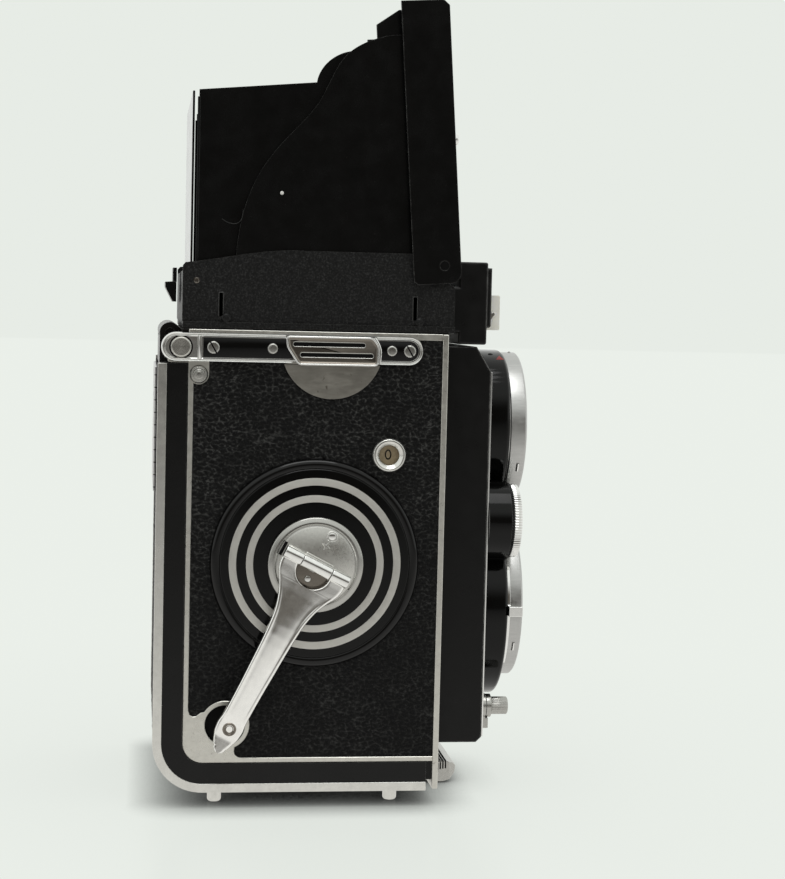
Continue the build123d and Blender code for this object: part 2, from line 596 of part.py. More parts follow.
def reflex_mirror():
    """Front-silvered plate at 45 degrees below the focusing screen."""
    middle_y = -2.5
    return Pos(0, middle_y, middle_y + 103.5) * Rot(45, 0, 0) * Pos(0, 0, -0.7) * Box(52, 68, 1.4)


LID_PLACE = Pos(*LID_FOOT) * Rot(-LID_LEAN, 0, 0)   # lid coordinates: X, depth, length
FLAP_LOW, FLAP_TOP = 36.2, 69.6
FLAP_AXIS = (1.4, 70.2)                             # (depth, length) of the finder flap's hinge
LENS_AXIS = (3.1, 68.0)                             # (depth, length) of the magnifier's hinge
LOUPE_L, LOUPE_R = 54.0, 10.4                       # magnifier lens, up the lid from its foot


def lid_profile():
    """Lid seen from the side in (depth, length), its lower front corner rounded."""
    face = polygon((3, 0), (LID_DEPTH - 1, 0), (LID_DEPTH, 1), (LID_DEPTH, LID_LENGTH),
                   (1.5, LID_LENGTH), (0, LID_LENGTH - 1.5), (0, 3))
    return face + Pos(3, 3) * Circle(3)


def lid_hollow():
    room = polygon((1, 3), (3, 1.0), (3, -1), (20, -1), (20, LID_LENGTH - 1), (1, LID_LENGTH - 1))
    return room + Pos(3, 3) * Circle(2)


def hood_lid():
    lid = slab(lid_profile(), -LID_X, LID_X) - slab(lid_hollow(), 1 - LID_X, LID_X - 1)
    lid = lid - block(1 - LID_X, LID_X - 1, 3, 20, LID_LENGTH - 1.5, LID_LENGTH + 1)
    lid = lid - block(-20, 20, -1, 2, FLAP_LOW - 0.2, 71.2)
    # cheeks that carry the finder parts, at the top corners
    cheek_face = polygon((0.9, 60), (19.4, 60), (19.4, 69.6), (13.2, 73.3), (0.9, 73.3))
    cheek = slab(cheek_face, -35.2, -34.5)
    bridge = block(-37.7, -34.5, 0.9, 2.2, 60, 73.3)
    lid = lid + cheek + across(cheek) + bridge + across(bridge)
    for x in (-22.2, 20.1):
        lid = lid + block(x, x + 2.1, 0.9, 2.4, 69.2, 71.2)
    lid = LID_PLACE * (lid - disc_x(*FLAP_AXIS, THIN_PIN_R + RUN, -22.3, 22.3))
    return lid - disc_x(LID_HINGE_Y, LID_HINGE_Z, HINGE_PIN_R + RUN, -40, 40)


def finder_flap():
    flap = block(-19.8, 19.8, 0, 1.0, FLAP_LOW, FLAP_TOP) + disc_x(*FLAP_AXIS, 0.8, -19.8, 19.8)
    flap = flap + disc_x(*FLAP_AXIS, THIN_PIN_R, -22.0, 22.0)
    flap = flap + block(-19.8, 19.8, 0.3, 1.0, FLAP_TOP - 1, 70.2)
    for x in (-16.2, 14.2):
        ear = block(x, x + 2.0, 0.9, 4.1, 66.9, 69.1)
        flap = flap + (ear - disc_x(*LENS_AXIS, THIN_PIN_R + RUN, x - 1, x + 4))
    return LID_PLACE * flap


def magnifier_frame():
    frame = block(-13.5, 13.5, 2.4, 3.6, 41, 67.5) + disc_x(*LENS_AXIS, 0.8, -13.9, 13.9)
    frame = frame + disc_x(*LENS_AXIS, THIN_PIN_R, -16.0, 16.0)
    frame = frame + disc_y(0, LOUPE_L, 11.6, 2.4, 4.6) - disc_y(0, LOUPE_L, LOUPE_R, 2, 6)
    return LID_PLACE * frame


def magnifier_lens():
    glass = disc_y(0, LOUPE_L, LOUPE_R, 2.6, 7) & Pos(0, -17.2, LOUPE_L) * Rot(90, 0, 0) * Sphere(22.6)
    return LID_PLACE * glass


FRONT_WING_V = {-1: 7.3, 1: 8.9}                    # depth of each front wing's hinge in the lid
REAR_WING_Y = {-1: 28.9, 1: 27.7}                   # hinge of each rear wing


def front_wing_face(hinge_depth):
    """Front wing in lid coordinates: straight at the lid, with a long S-shaped free edge."""
    edge = Spline((12.8, 66.6), (20.2, 65.7), (27.6, 62.0), (35.6, 50.0), (45.5, 40.0), (53.0, 31.0),
                  (58.5, 18.0), (60.3, 3.8))
    rest = Polyline((60.3, 3.8), (hinge_depth, 3.8), (hinge_depth, 66.6), (12.8, 66.6))
    return make_face(edge + rest)


def front_wing(side):
    depth = FRONT_WING_V[side]
    wing = slab(front_wing_face(depth + 0.7), WING_X, WING_X + SHEET)
    axis = Pos(WING_X + SHEET / 2, depth, 35)
    wing = wing + block(WING_X, WING_X + SHEET, depth, depth + 0.8, 4, 66)
    wing = LID_PLACE * (wing + axis * Cylinder(0.4, 62) - axis * Cylinder(0.2, 64))
    return wing if side > 0 else across(wing)


def rear_panel():
    panel = block(-33.1, 33.1, REAR_PANEL_Y - 0.3, REAR_PANEL_Y + 0.3, REAR_PANEL_Z, 191.6)
    panel = panel + disc_x(REAR_PANEL_Y, REAR_PANEL_Z, 1.0, -33.1, 33.1)
    return panel - disc_x(REAR_PANEL_Y, REAR_PANEL_Z, THIN_PIN_R + RUN, -40, 40)


def rear_wing_face(hinge_y):
    bump = Spline((-2.2, 194.9), (-4.2, 199.4), (-9.7, 203.1), (-12.5, 203.6))
    rest = Polyline((-12.5, 203.6), (-12.5, 143.5), (hinge_y, 143.5), (hinge_y, 191.9), (-2.2, 194.9))
    return make_face(bump + rest)


def rear_wing(side):
    hinge = REAR_WING_Y[side]
    wing = slab(rear_wing_face(hinge), REAR_WING_X, REAR_WING_X + SHEET)
    middle = REAR_WING_X + SHEET / 2
    wing = wing + disc_z(middle, hinge, 0.4, 144, 190) - disc_z(middle, hinge, 0.2, 143, 191)
    return wing if side > 0 else across(wing)


def hood_catch():
    """Sprung release at the back of the hood base: pressed forward to let the lid rise."""
    lever = polygon((33.7, 135.7), (33.7, 141.4), (36.8, 141.2), (36.8, 139.8), (34.7, 135.7))
    button = slab(lever, -9, 9) + block(-7, 7, 33.6, 34.7, 141.3, 145.2)
    return button


# ---------------------------------------------------------------- focusing
def focus_knob():
    knob = disc_x(FOCUS_Y, FOCUS_Z, FOCUS_R, SIDE_X + 0.4, SIDE_X + 9)
    knob = knob + disc_x(FOCUS_Y, FOCUS_Z, FOCUS_R - 2.5, SIDE_X + 9, SIDE_X + 13)
    knob = knob - disc_x(FOCUS_Y, FOCUS_Z, FOCUS_R - 5, SIDE_X + 12.2, SIDE_X + 14)
    return knob + disc_x(FOCUS_Y, FOCUS_Z, 3.0, 31.5, SIDE_X + 0.4)


# ---------------------------------------------------------------- write every node
def both(shape):
    return [shape, across(shape)]


SINGLE = {
    "body_casting": body_casting, "front_plate": front_plate, "crank_escutcheon": crank_escutcheon,
    "counter_bezel": counter_bezel, "reflex_mirror": reflex_mirror, "focusing_screen": focusing_screen,
    "screen_frame": screen_frame, "hood_base": hood_base, "meter_housing": meter_housing,
    "meter_window": meter_window, "hinge_release_button": hinge_release_button,
    "frame_counter_dial": counter_dial, "crank_hub": crank_hub, "crank_arm": crank_arm,
    "crank_knob": crank_knob, "back_door": back_door, "back_leather": back_leather,
    "exposure_guide": exposure_guide, "pressure_plate": pressure_plate, "tripod_socket": tripod_socket,
    "back_lock_ring": back_lock_ring, "back_latch": back_latch,
    "focus_knob": focus_knob, "lens_standard": lens_standard, "panel_trim": panel_trim,
    "lens_panel": lens_panel, "release_collar": release_collar, "release_lock_lever": release_lock_lever,
    "shutter_button": shutter_button, "self_timer_lever": self_timer_lever, "hood_lid": hood_lid,
    "finder_flap": finder_flap, "magnifier_frame": magnifier_frame, "magnifier_lens": magnifier_lens,
    "hood_rear_panel": rear_panel, "hood_catch": hood_catch,
}
for node, make in SINGLE.items():
    save(node, make())

save("side_trims", *side_trims())
save("side_leathers", *side_leathers())
save("escutcheon_rings", *escutcheon_rings())
save("film_rollers", *film_rollers())
save("strap_rails", *both(strap_rail()))
save("strap_lugs", *both(strap_lug()))
save("lug_wear_plates", *both(wear_plate()))
save("rail_fasteners", *[piece for head in rail_fasteners() for piece in both(head)])
save("hinge_pins", *hinge_pins())
save("door_rims", *both(door_rim()))
save("feet", *feet())
save("feed_spool", spool(FEED_Y, FEED_Z))
save("takeup_spool", spool(TAKEUP_Y, TAKEUP_Z))
save("feed_spool_knob", spool_knob(FEED_Y, FEED_Z))
save("takeup_spool_knob", spool_knob(TAKEUP_Y, TAKEUP_Z))
save("lens_bayonets", bayonet(VIEW_Z, 21.3), bayonet(TAKE_Z, 22.2))
save("lens_barrels", lens_barrel(VIEW_Z), lens_barrel(TAKE_Z))
save("lens_elements", *lens_glass(VIEW_Z), *lens_glass(TAKE_Z))
save("aperture_wheel", setting_wheel(-WHEEL_X))
save("shutter_speed_wheel", setting_wheel(WHEEL_X))
save("front_wing_right", front_wing(-1))
save("front_wing_left", front_wing(1))
save("rear_wing_right", rear_wing(-1))
save("rear_wing_left", rear_wing(1))
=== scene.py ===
import bpy, bmesh, json, math
import numpy as np
from mathutils import Matrix, Vector


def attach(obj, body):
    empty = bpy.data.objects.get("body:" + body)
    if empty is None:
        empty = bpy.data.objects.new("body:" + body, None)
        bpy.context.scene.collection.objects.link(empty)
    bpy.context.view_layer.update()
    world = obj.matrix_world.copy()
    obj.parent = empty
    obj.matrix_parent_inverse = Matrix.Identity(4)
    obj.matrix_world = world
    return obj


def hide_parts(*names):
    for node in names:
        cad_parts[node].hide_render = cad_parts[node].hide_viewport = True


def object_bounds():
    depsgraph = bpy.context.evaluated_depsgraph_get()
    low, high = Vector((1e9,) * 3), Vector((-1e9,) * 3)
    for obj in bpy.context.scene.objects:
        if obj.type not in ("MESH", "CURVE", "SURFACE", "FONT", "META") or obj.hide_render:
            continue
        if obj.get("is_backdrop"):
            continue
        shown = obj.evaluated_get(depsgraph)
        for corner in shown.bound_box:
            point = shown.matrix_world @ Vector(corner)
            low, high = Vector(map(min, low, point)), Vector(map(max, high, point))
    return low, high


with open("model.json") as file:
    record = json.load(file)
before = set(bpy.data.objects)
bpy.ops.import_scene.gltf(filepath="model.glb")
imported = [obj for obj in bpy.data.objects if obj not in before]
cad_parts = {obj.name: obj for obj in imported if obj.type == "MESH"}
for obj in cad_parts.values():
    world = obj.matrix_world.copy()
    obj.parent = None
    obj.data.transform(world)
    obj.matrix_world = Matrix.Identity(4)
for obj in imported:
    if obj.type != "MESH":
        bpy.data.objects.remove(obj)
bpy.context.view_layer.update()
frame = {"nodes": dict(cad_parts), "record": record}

# Looks of the twin lens reflex camera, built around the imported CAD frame.
# Lengths in the builders are millimetres in the row frame; objects are in metres.
MM = 0.001
SIDES = ((-1, "right"), (1, "left"))
RIGHT = (-1, 0, 0)
LEFT = (1, 0, 0)
FRONT = (0, -1, 0)
# places on the camera's sides, as (y, z)
CRANK = (-3.8, 66.5)
POCKET = (19.5, 22.5)
COUNTER = (-23.25, 95.9)
STUD = (28.0, 116.7)
CORNER = (25.3, 17.7)
FOCUS = (-12, 60)
FEED = (-6.0, 18.4)
TAKEUP = (20.0, 97.0)

scene = bpy.context.scene


# ==== materials
class Tree:
    """Short helpers for a shader's node tree. A node given as a value stands for its first output."""

    def __init__(self, tree):
        self.tree = tree

    def feed(self, socket, value):
        """Links an output to a socket, or sets the socket's own value."""
        if isinstance(value, bpy.types.Node):
            value = value.outputs[0]
        if isinstance(value, bpy.types.NodeSocket):
            self.tree.links.new(value, socket)
        elif value is not None:
            socket.default_value = (*value, 1) if socket.type == "RGBA" else value

    def node(self, kind, inputs=(), **settings):
        """A new node; inputs go to its sockets by place or by name."""
        made = self.tree.nodes.new("ShaderNode" + kind)
        for key, value in settings.items():
            setattr(made, key, value)
        for place, value in inputs.items() if isinstance(inputs, dict) else enumerate(inputs):
            self.feed(made.inputs[place], value)
        return made

    def math(self, op, *values, clamp=False):
        return self.node("Math", values, operation=op, use_clamp=clamp)

    def mix(self, factor, a, b, **settings):
        return self.node("Mix", {0: factor, 6: a, 7: b}, data_type="RGBA", **settings).outputs[2]

    def range(self, value, low, high, to_low=0.0, to_high=1.0, **settings):
        return self.node("MapRange", (value, low, high, to_low, to_high), **settings)

    def ramp(self, value, stops):
        """A colour ramp; each stop is a place with a grey level or a colour."""
        node = self.node("ValToRGB", (value,))
        elements = node.color_ramp.elements
        while len(elements) < len(stops):
            elements.new(0.5)
        for element, (place, colour) in zip(elements, stops):
            element.position = place
            element.color = (*colour, 1) if isinstance(colour, tuple) else (colour, colour, colour, 1)
        return node


class Mat(Tree):
    """A principled material whose textures are measured in millimetres."""

    def __init__(self, name, base, rough, metal=0.0, spec=0.5, coat=0.0):
        self.mat = bpy.data.materials.new(name)
        self.mat.use_nodes = True
        super().__init__(self.mat.node_tree)
        self.bsdf = self.tree.nodes["Principled BSDF"]
        self.set("Base Color", base)
        self.set("Roughness", rough)
        self.set("Metallic", metal)
        self.set("Specular IOR Level", spec)
        self.set("Coat Weight", coat)
        self.set("Coat Roughness", 0.05)
        place = self.node("TexCoord").outputs["Object"]
        self.mm = self.node("VectorMath", {0: place, "Scale": 1 / MM}, operation="SCALE")
        self.normal = None

    def set(self, socket, value):
        self.feed(self.bsdf.inputs[socket], value)

    def axis(self, name):
        return self.node("SeparateXYZ", (self.mm,)).outputs[name]

    def stretched(self, size, offset=(0, 0, 0)):
        """Texture coordinates with one unit per size millimetres, which may differ by axis."""
        size = size if isinstance(size, tuple) else (size,) * 3
        return self.node("Mapping", {"Vector": self.mm, "Location": offset, "Scale": [1 / s for s in size]})

    def noise(self, size, detail=3.0, rough=0.55, offset=(0, 0, 0)):
        place = self.stretched(size, offset)
        return self.node("TexNoise", {"Vector": place, "Scale": 1.0, "Detail": detail, "Roughness": rough})

    def cells(self, size, feature="F1"):
        return self.node("TexVoronoi", {"Vector": self.stretched(size), "Scale": 1.0}, feature=feature)

    def bump(self, height, depth_mm, strength=1.0):
        """Adds relief on top of any that is already there."""
        self.normal = self.node("Bump", {"Strength": strength, "Distance": depth_mm * MM, "Height": height,
                                         "Normal": self.normal})
        self.set("Normal", self.normal)

    def rough_from(self, value, low, high):
        self.set("Roughness", self.range(value, 0.3, 0.7, low, high))

    def edge_mask(self, radius_mm, gain):
        """Near 1 on sharp convex edges, from the difference between true and rounded normals."""
        rounded = self.node("Bevel", {"Radius": radius_mm * MM}, samples=4)
        true = self.node("NewGeometry").outputs["Normal"]
        dot = self.node("VectorMath", (rounded, true), operation="DOT_PRODUCT").outputs["Value"]
        return self.math("MULTIPLY", self.math("SUBTRACT", 1.0, dot), gain, clamp=True)


def worn_black_with_edge_highlights(name, base, rough, spec, edge, grain_mm, grain_depth, radius=0.25):
    """Black paint with a fine grain and dust; its sharp edges are lightened towards grey, partly as metal
    showing where they are rubbed, partly as a painted highlight.
    """
    m = Mat(name, (base,) * 3, rough, spec=spec)
    rubbed = m.range(m.noise(2.5, 4), 0.35, 0.62, 0.25, 1.0)
    # sharp edges lightened towards grey: partly rubbed wear, partly a painted highlight
    rubbed_and_highlit_edge = m.math("MULTIPLY", m.edge_mask(radius, edge), rubbed)
    dust = m.range(m.noise(0.35, 2), 0.70, 0.78, 0.0, 0.06)
    paint = m.mix(m.noise(14.0), (base * 0.75,) * 3, (base * 1.35, base * 1.33, base * 1.28))
    paint = m.mix(dust, paint, (0.18, 0.18, 0.17))
    m.set("Base Color", m.mix(rubbed_and_highlit_edge, paint, (0.33, 0.33, 0.32)))
    m.rough_from(m.noise(5.0, 5), rough * 0.8, rough * 1.25)
    m.bump(m.noise(grain_mm, 4), grain_depth)
    return m.mat


def crinkle_black():
    """Wrinkle-finish enamel of the hood base."""
    m = Mat("crinkle_enamel", (0.008, 0.008, 0.008), 0.42, spec=0.22)
    paint = m.ramp(m.noise(0.42, 4, 0.7), [(0.40, 0.002), (0.52, 0.006), (0.66, 0.030)])
    # sharp edges lightened towards grey: partly rubbed wear, partly a painted highlight
    m.set("Base Color", m.mix(m.edge_mask(0.2, 1.2), paint, (0.07, 0.07, 0.065)))
    m.bump(m.cells(0.75, "SMOOTH_F1"), 0.20)
    m.bump(m.noise(0.5, 4), 0.12)
    return m.mat


def satin_metal(name, base, rough, stretch, streak, spot=0.0, edge=0.0):
    """Brushed or turned metal: fine streaks along one axis, fingerprints and small dark spots; edge lightens
    sharp edges towards white as a painted highlight.
    """
    m = Mat(name, base, rough, metal=1.0)
    lines = m.noise(stretch, 3, 0.7)
    dark = tuple(c * (1 - streak) for c in base)
    bright = tuple(min(1.0, c * (1 + streak * 0.45)) for c in base)
    colour = m.mix(m.range(lines, 0.3, 0.7), dark, bright)
    if spot:
        colour = m.mix(m.range(m.noise(1.6), 0.66, 0.74, 0.0, spot), colour, (0.12, 0.105, 0.085))
    # painted highlight: sharp edges lightened towards white
    if edge:
        colour = m.mix(m.edge_mask(0.2, edge), colour, (0.95, 0.95, 0.93))
    m.set("Base Color", colour)
    uneven = m.math("ADD", m.math("MULTIPLY", lines, 0.5), m.math("MULTIPLY", m.noise(7.0, 4), 0.5))
    m.rough_from(uneven, rough * 0.75, rough * 1.3)
    m.bump(lines, 0.012, 0.6)
    return m.mat


def turned_metal(name, base, rough, centre, axis, pitch=0.22, depth=0.02, anisotropic=0.0):
    """Lathe-turned metal: concentric lines round an axis (0 to 2) through centre (mm)."""
    m = Mat(name, base, rough, metal=1.0)
    m.set("Anisotropic", anisotropic)
    across = [0 if i == axis else 1 for i in range(3)]
    shift = m.node("VectorMath", (m.mm, centre), operation="SUBTRACT")
    flat = m.node("VectorMath", (shift, across), operation="MULTIPLY")
    radius = m.node("VectorMath", (flat,), operation="LENGTH").outputs["Value"]
    grit = m.noise(0.8, 4)
    m.set("Base Color", m.mix(m.noise(6.0, 4), tuple(c * 0.82 for c in base), base))
    m.rough_from(grit, rough * 0.8, rough * 1.25)
    m.bump(m.math("SINE", m.math("MULTIPLY", radius, 2 * math.pi / pitch)), depth, 0.5)
    m.bump(grit, 0.01, 0.5)
    return m.mat


def leather_mat():
    """Black leather; the pebbles are in the mesh, whose relief attribute is low in the creases. The creases
    are painted paler, partly as wear and dust, partly as a painted highlight on their walls that grows higher
    up.
    """
    m = Mat("grained_leather", (0.008, 0.008, 0.008), 0.40, spec=0.12)
    level = m.node("Attribute", attribute_name="relief").outputs["Fac"]
    uneven_wear_and_sheen = m.range(m.noise(9.0, 4), 0.35, 0.65, 0.5, 1.1)
    broken = m.range(m.noise((1.0, 1.1, 0.55), 4, 0.7, (3.1, 0, 0)), 0.46, 0.60, 0.05, 1.0)
    # painted highlight: the pale creases grow stronger higher up the side
    crease_highlight_by_height = m.range(m.axis("Z"), 50.0, 105.0, 0.55, 1.15)
    deep = m.math("MULTIPLY", m.range(level, 0.0, 0.60, 1.0, 0.0), crease_highlight_by_height)
    crease = m.math("MULTIPLY", deep, m.math("MULTIPLY", uneven_wear_and_sheen, broken))
    grit = m.range(m.noise(0.38, 3, 0.6), 0.58, 0.72, 0.0, 0.45)
    # pale creases: partly wear and dust, partly a painted highlight on the crease walls
    pale = m.math("MAXIMUM", crease, grit)
    m.set("Base Color", m.mix(pale, (0.0022, 0.0022, 0.0023), (0.060, 0.060, 0.058)))
    m.rough_from(m.noise(2.0, 4), 0.32, 0.48)
    m.bump(m.noise(0.45, 5, 0.65), 0.12)
    m.bump(m.cells(0.55), 0.08)
    return m.mat


def coated_glass():
    m = Mat("coated_glass", (0.92, 0.95, 1.0), 0.02, spec=0.6, coat=0.3)
    m.set("Transmission Weight", 0.9)
    m.set("IOR", 1.52)
    m.set("Roughness", m.range(m.noise(9.0, 4), 0.45, 0.7, 0.01, 0.06))
    return m.mat


def mottled(name, rough, size, dark, bright, **settings):
    """Paint or plastic whose colour wanders between two, over size millimetres."""
    m = Mat(name, bright, rough, **settings)
    m.set("Base Color", m.ramp(m.noise(size), [(0.3, dark), (0.7, bright)]))
    return m


def guide_plate():
    """Metal with a blank grid of fine black lines."""
    m = Mat("guide_plate", (0.62, 0.61, 0.57), 0.35, metal=1.0)
    row = m.math("FRACT", m.math("DIVIDE", m.axis("Z"), 3.4))
    column = m.math("FRACT", m.math("DIVIDE", m.axis("X"), 9.6))
    line = m.math("MAXIMUM", m.math("LESS_THAN", row, 0.08), m.math("LESS_THAN", column, 0.03))
    m.set("Base Color", m.mix(line, m.ramp(m.noise(5.0), [(0.3, 0.55), (0.7, 0.68)]), (0.02, 0.02, 0.02)))
    m.rough_from(m.noise(3.0, 4), 0.28, 0.42)
    return m.mat


# The fifth number of each black lightens its sharp edges: partly rubbed wear, partly a painted highlight.
LACQUER = worn_black_with_edge_highlights("black_lacquer", 0.0038, 0.26, 0.24, 1.6, 0.5, 0.012)
HOOD = worn_black_with_edge_highlights("hood_paint", 0.0024, 0.24, 0.22, 0.7, 0.3, 0.006)
ENAMEL = worn_black_with_edge_highlights("gloss_enamel", 0.0022, 0.10, 0.22, 0.6, 6.0, 0.02)
MATT = worn_black_with_edge_highlights("matt_black", 0.002, 0.6, 0.1, 0.0, 0.6, 0.02)
PLASTIC = worn_black_with_edge_highlights("meter_black", 0.0035, 0.32, 0.24, 2.4, 0.4, 0.02, radius=0.7)
LID = worn_black_with_edge_highlights("lid_paint", 0.0024, 0.24, 0.22, 0.8, 0.3, 0.006, radius=0.45)
SHIELD = worn_black_with_edge_highlights("shield_enamel", 0.0018, 0.09, 0.35, 0.4, 6.0, 0.01, radius=0.3)
# ribs of the hood base: a lighter black with strong edge lightening, a painted highlight on the ribs
RIB_HIGHLIT = worn_black_with_edge_highlights("rib_enamel_highlit", 0.020, 0.34, 0.35, 1.0, 0.4, 0.02, radius=0.4)
CRINKLE = crinkle_black()
TRIM = satin_metal("satin_trim", (0.66, 0.65, 0.60), 0.30, (0.5, 2.0, 2.0), 0.12, spot=0.3)
CHROME = satin_metal("satin_chrome", (0.72, 0.715, 0.68), 0.22, (1.2, 3.0, 3.0), 0.1)
POLISHED = satin_metal("polished_chrome", (0.86, 0.86, 0.84), 0.09, (2.0, 2.0, 2.0), 0.06)
STEEL = satin_metal("dark_steel", (0.22, 0.198, 0.17), 0.20, (0.8, 6.0, 0.8), 0.15, edge=0.8)
GREY = satin_metal("grey_chrome", (0.46, 0.455, 0.43), 0.24, (1.0, 1.0, 1.0), 0.12)
BAYONET = satin_metal("bayonet_satin", (0.50, 0.50, 0.49), 0.33, (0.25, 6.0, 6.0), 0.12)
WEAR = satin_metal("rubbed_steel", (0.36, 0.345, 0.31), 0.34, (1.2, 5.0, 1.2), 0.14, spot=0.8)
HUB = satin_metal("hub_face", (0.66, 0.655, 0.62), 0.30, (0.6, 0.6, 0.6), 0.08, spot=0.2)
ARM = satin_metal("crank_arm_chrome", (0.97, 0.965, 0.94), 0.16, (2.0, 2.0, 2.0), 0.05)
RINGS = turned_metal("ring_aluminium", (0.66, 0.65, 0.61), 0.38, (0, *CRANK), 0)
HUB_RIM = turned_metal("hub_rim", (0.50, 0.495, 0.47), 0.20, (0, *CRANK), 0, 0.3, 0.006)
TURNED = turned_metal("turn_button", (0.62, 0.61, 0.57), 0.24, (0, 32.8, 123.9), 0, 0.35, 0.01, 0.85)
SOCKET = turned_metal("turned_steel", (0.5, 0.49, 0.46), 0.3, (0, 0, 0), 2)
LEATHER = leather_mat()
GLASS = coated_glass()
GUIDE = guide_plate()
RED = mottled("red_enamel", 0.4, 0.4, (0.22, 0.012, 0.01), (0.38, 0.03, 0.02)).mat
WHITE = mottled("white_paint", 0.5, 0.5, (0.6, 0.6, 0.57), (0.85, 0.85, 0.82)).mat
LENSLET = mottled("meter_lenslets", 0.35, 3.0, (0.90, 0.89, 0.80), (0.96, 0.95, 0.90), coat=0.3)
LENSLET.set("Subsurface Weight", 0.25)
LENSLET.set("Subsurface Radius", (0.002, 0.002, 0.0015))
DIAL = mottled("counter_dial_face", 0.5, 0.8, (0.36, 0.28, 0.17), (0.50, 0.40, 0.26))
DIAL.bump(DIAL.noise(0.3), 0.02)
SCREEN = Mat("ground_glass", (0.75, 0.77, 0.75), 0.5, spec=0.4)
SCREEN.set("Transmission Weight", 0.35)
SCREEN.bump(SCREEN.noise(0.12), 0.03)
MIRROR = Mat("silvered_mirror", (0.9, 0.9, 0.9), 0.03, metal=1.0)
MIRROR.set("Roughness", MIRROR.range(MIRROR.noise(8.0, 4), 0.4, 0.7, 0.02, 0.08))

# the record's material slot that each finish stands for; the others are chrome
FINISH_SLOT = {
    **dict.fromkeys((LACQUER, ENAMEL, MATT, SHIELD, RED), "black_enamel"),
    **dict.fromkeys((RIB_HIGHLIT, CRINKLE), "black_lacquer"), **dict.fromkeys((HOOD, WHITE), "hood_black"),
    TRIM: "satin_trim", RINGS: "turned_aluminium", STEEL: "steel", LEATHER: "leather",
    LENSLET.mat: "meter_window",
}
NODE_SLOT = {part["node"]: part["material_slot"] for part in frame["record"]["subparts"]}


# ==== mesh builders
# What a builder doesn't use itself goes on to place: body, replace, sharp and slot.
def place(name, mesh, mat, body="camera_body", replace=None, sharp=40, slot=None):
    """A smooth piece that rides on a body; replace is the CAD node that it stands for."""
    mesh.materials.clear()
    mesh.materials.append(mat)
    mesh.polygons.foreach_set("use_smooth", [True] * len(mesh.polygons))
    mesh.set_sharp_from_angle(angle=math.radians(sharp))
    obj = bpy.data.objects.new(name, mesh)
    scene.collection.objects.link(obj)
    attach(obj, body)
    if replace:
        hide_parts(replace)
    return obj


def add(name, verts, faces, mat, **where):
    """A new piece from points in millimetres."""
    mesh = bpy.data.meshes.new(name)
    mesh.from_pydata([tuple(c * MM for c in v) for v in verts], [], faces)
    bm = bmesh.new()
    bm.from_mesh(mesh)
    bmesh.ops.recalc_face_normals(bm, faces=bm.faces)
    bm.to_mesh(mesh)
    bm.free()
    return place(name, mesh, mat, **where)


def skin(node, mat, width=0.15, segments=2, angle=32, nudge=None, outer_only=False):
    """Stands for a CAD node: a welded copy with rounded edges, or convex ones alone, and nudged points."""
    mesh = frame["nodes"][node].data.copy()
    mesh.name = node + "_skin"
    if "custom_normal" in mesh.attributes:
        mesh.attributes.remove(mesh.attributes["custom_normal"])
    bm = bmesh.new()
    bm.from_mesh(mesh)
    bmesh.ops.remove_doubles(bm, verts=bm.verts, dist=2e-6)
    bmesh.ops.dissolve_limit(bm, angle_limit=math.radians(0.6), verts=bm.verts, edges=bm.edges)
    if nudge:
        for v in bm.verts:
            v.co += Vector(nudge(*(v.co / MM))) * MM
    if outer_only:
        weight = bm.edges.layers.float.new("bevel_weight_edge")
        for e in bm.edges:
            turned = e.is_manifold and e.calc_face_angle() > math.radians(angle)
            e[weight] = 1.0 if turned and e.is_convex else 0.0
    bm.to_mesh(mesh)
    bm.free()
    bodies = frame["record"]["behaviour"]["bodies"]
    body = next(b for b, nodes in bodies.items() if node in nodes)
    obj = place(node + "_skin", mesh, mat, body, node, angle, NODE_SLOT[node])
    bevel = obj.modifiers.new("edges", "BEVEL")
    bevel.width = width * MM
    bevel.segments = segments
    bevel.limit_method = "WEIGHT" if outer_only else "ANGLE"
    bevel.angle_limit = math.radians(angle)
    bevel.harden_normals = True
    bevel.use_clamp_overlap = True


def soften(points, radius, steps=4, closed=True):
    """A 2-D line with each corner rounded to radius; an open line keeps its ends."""
    out = []
    last = len(points) - 1
    for i, point in enumerate(points):
        p = Vector(point)
        to_a, to_b = Vector(points[i - 1]) - p, Vector(points[(i + 1) % len(points)]) - p
        cut = min(radius, to_a.length * 0.45, to_b.length * 0.45)
        if cut < 1e-6 or (not closed and i in (0, last)):
            out.append(tuple(point))
            continue
        start, end = p + to_a.normalized() * cut, p + to_b.normalized() * cut
        for k in range(steps + 1):
            t = k / steps
            out.append(tuple(start * (1 - t) ** 2 + p * 2 * t * (1 - t) + end * t ** 2))
    return out


def arc(a, b, radius, start, end, count=24):
    """Points on a circle round (a, b), angles in degrees."""
    turns = np.radians(np.linspace(start, end, count))
    return [(a + radius * math.cos(t), b + radius * math.sin(t)) for t in turns]


def stadium(y_low, y_high, z, half, count=16):
    """The outline of a bar with round ends."""
    return arc(y_high - half, z, half, -90, 90, count) + arc(y_low + half, z, half, 90, 270, count)


def spline(points, count):
    """Smooth curve through points (Catmull-Rom), count steps between neighbours."""
    pts = [Vector(p) for p in points]
    out = []
    for i in range(len(pts) - 1):
        a, b, c, d = pts[max(i - 1, 0)], pts[i], pts[i + 1], pts[min(i + 2, len(pts) - 1)]
        for k in range(count):
            t = k / count
            bend = (2 * a - 5 * b + 4 * c - d) * t * t + (3 * b - a - 3 * c + d) * t ** 3
            out.append(0.5 * (2 * b + (c - a) * t + bend))
    return out + [pts[-1]]


def side_plane(x, side=-1):
    """(y, z, height) to millimetres on a side plane; height stands outwards."""
    return lambda y, z, h: Vector((side * (x + h), y, z))


def counter_clockwise(loop):
    area = sum(a[0] * b[1] - b[0] * a[1] for a, b in zip(loop, loop[1:] + loop[:1]))
    return loop if area > 0 else loop[::-1]


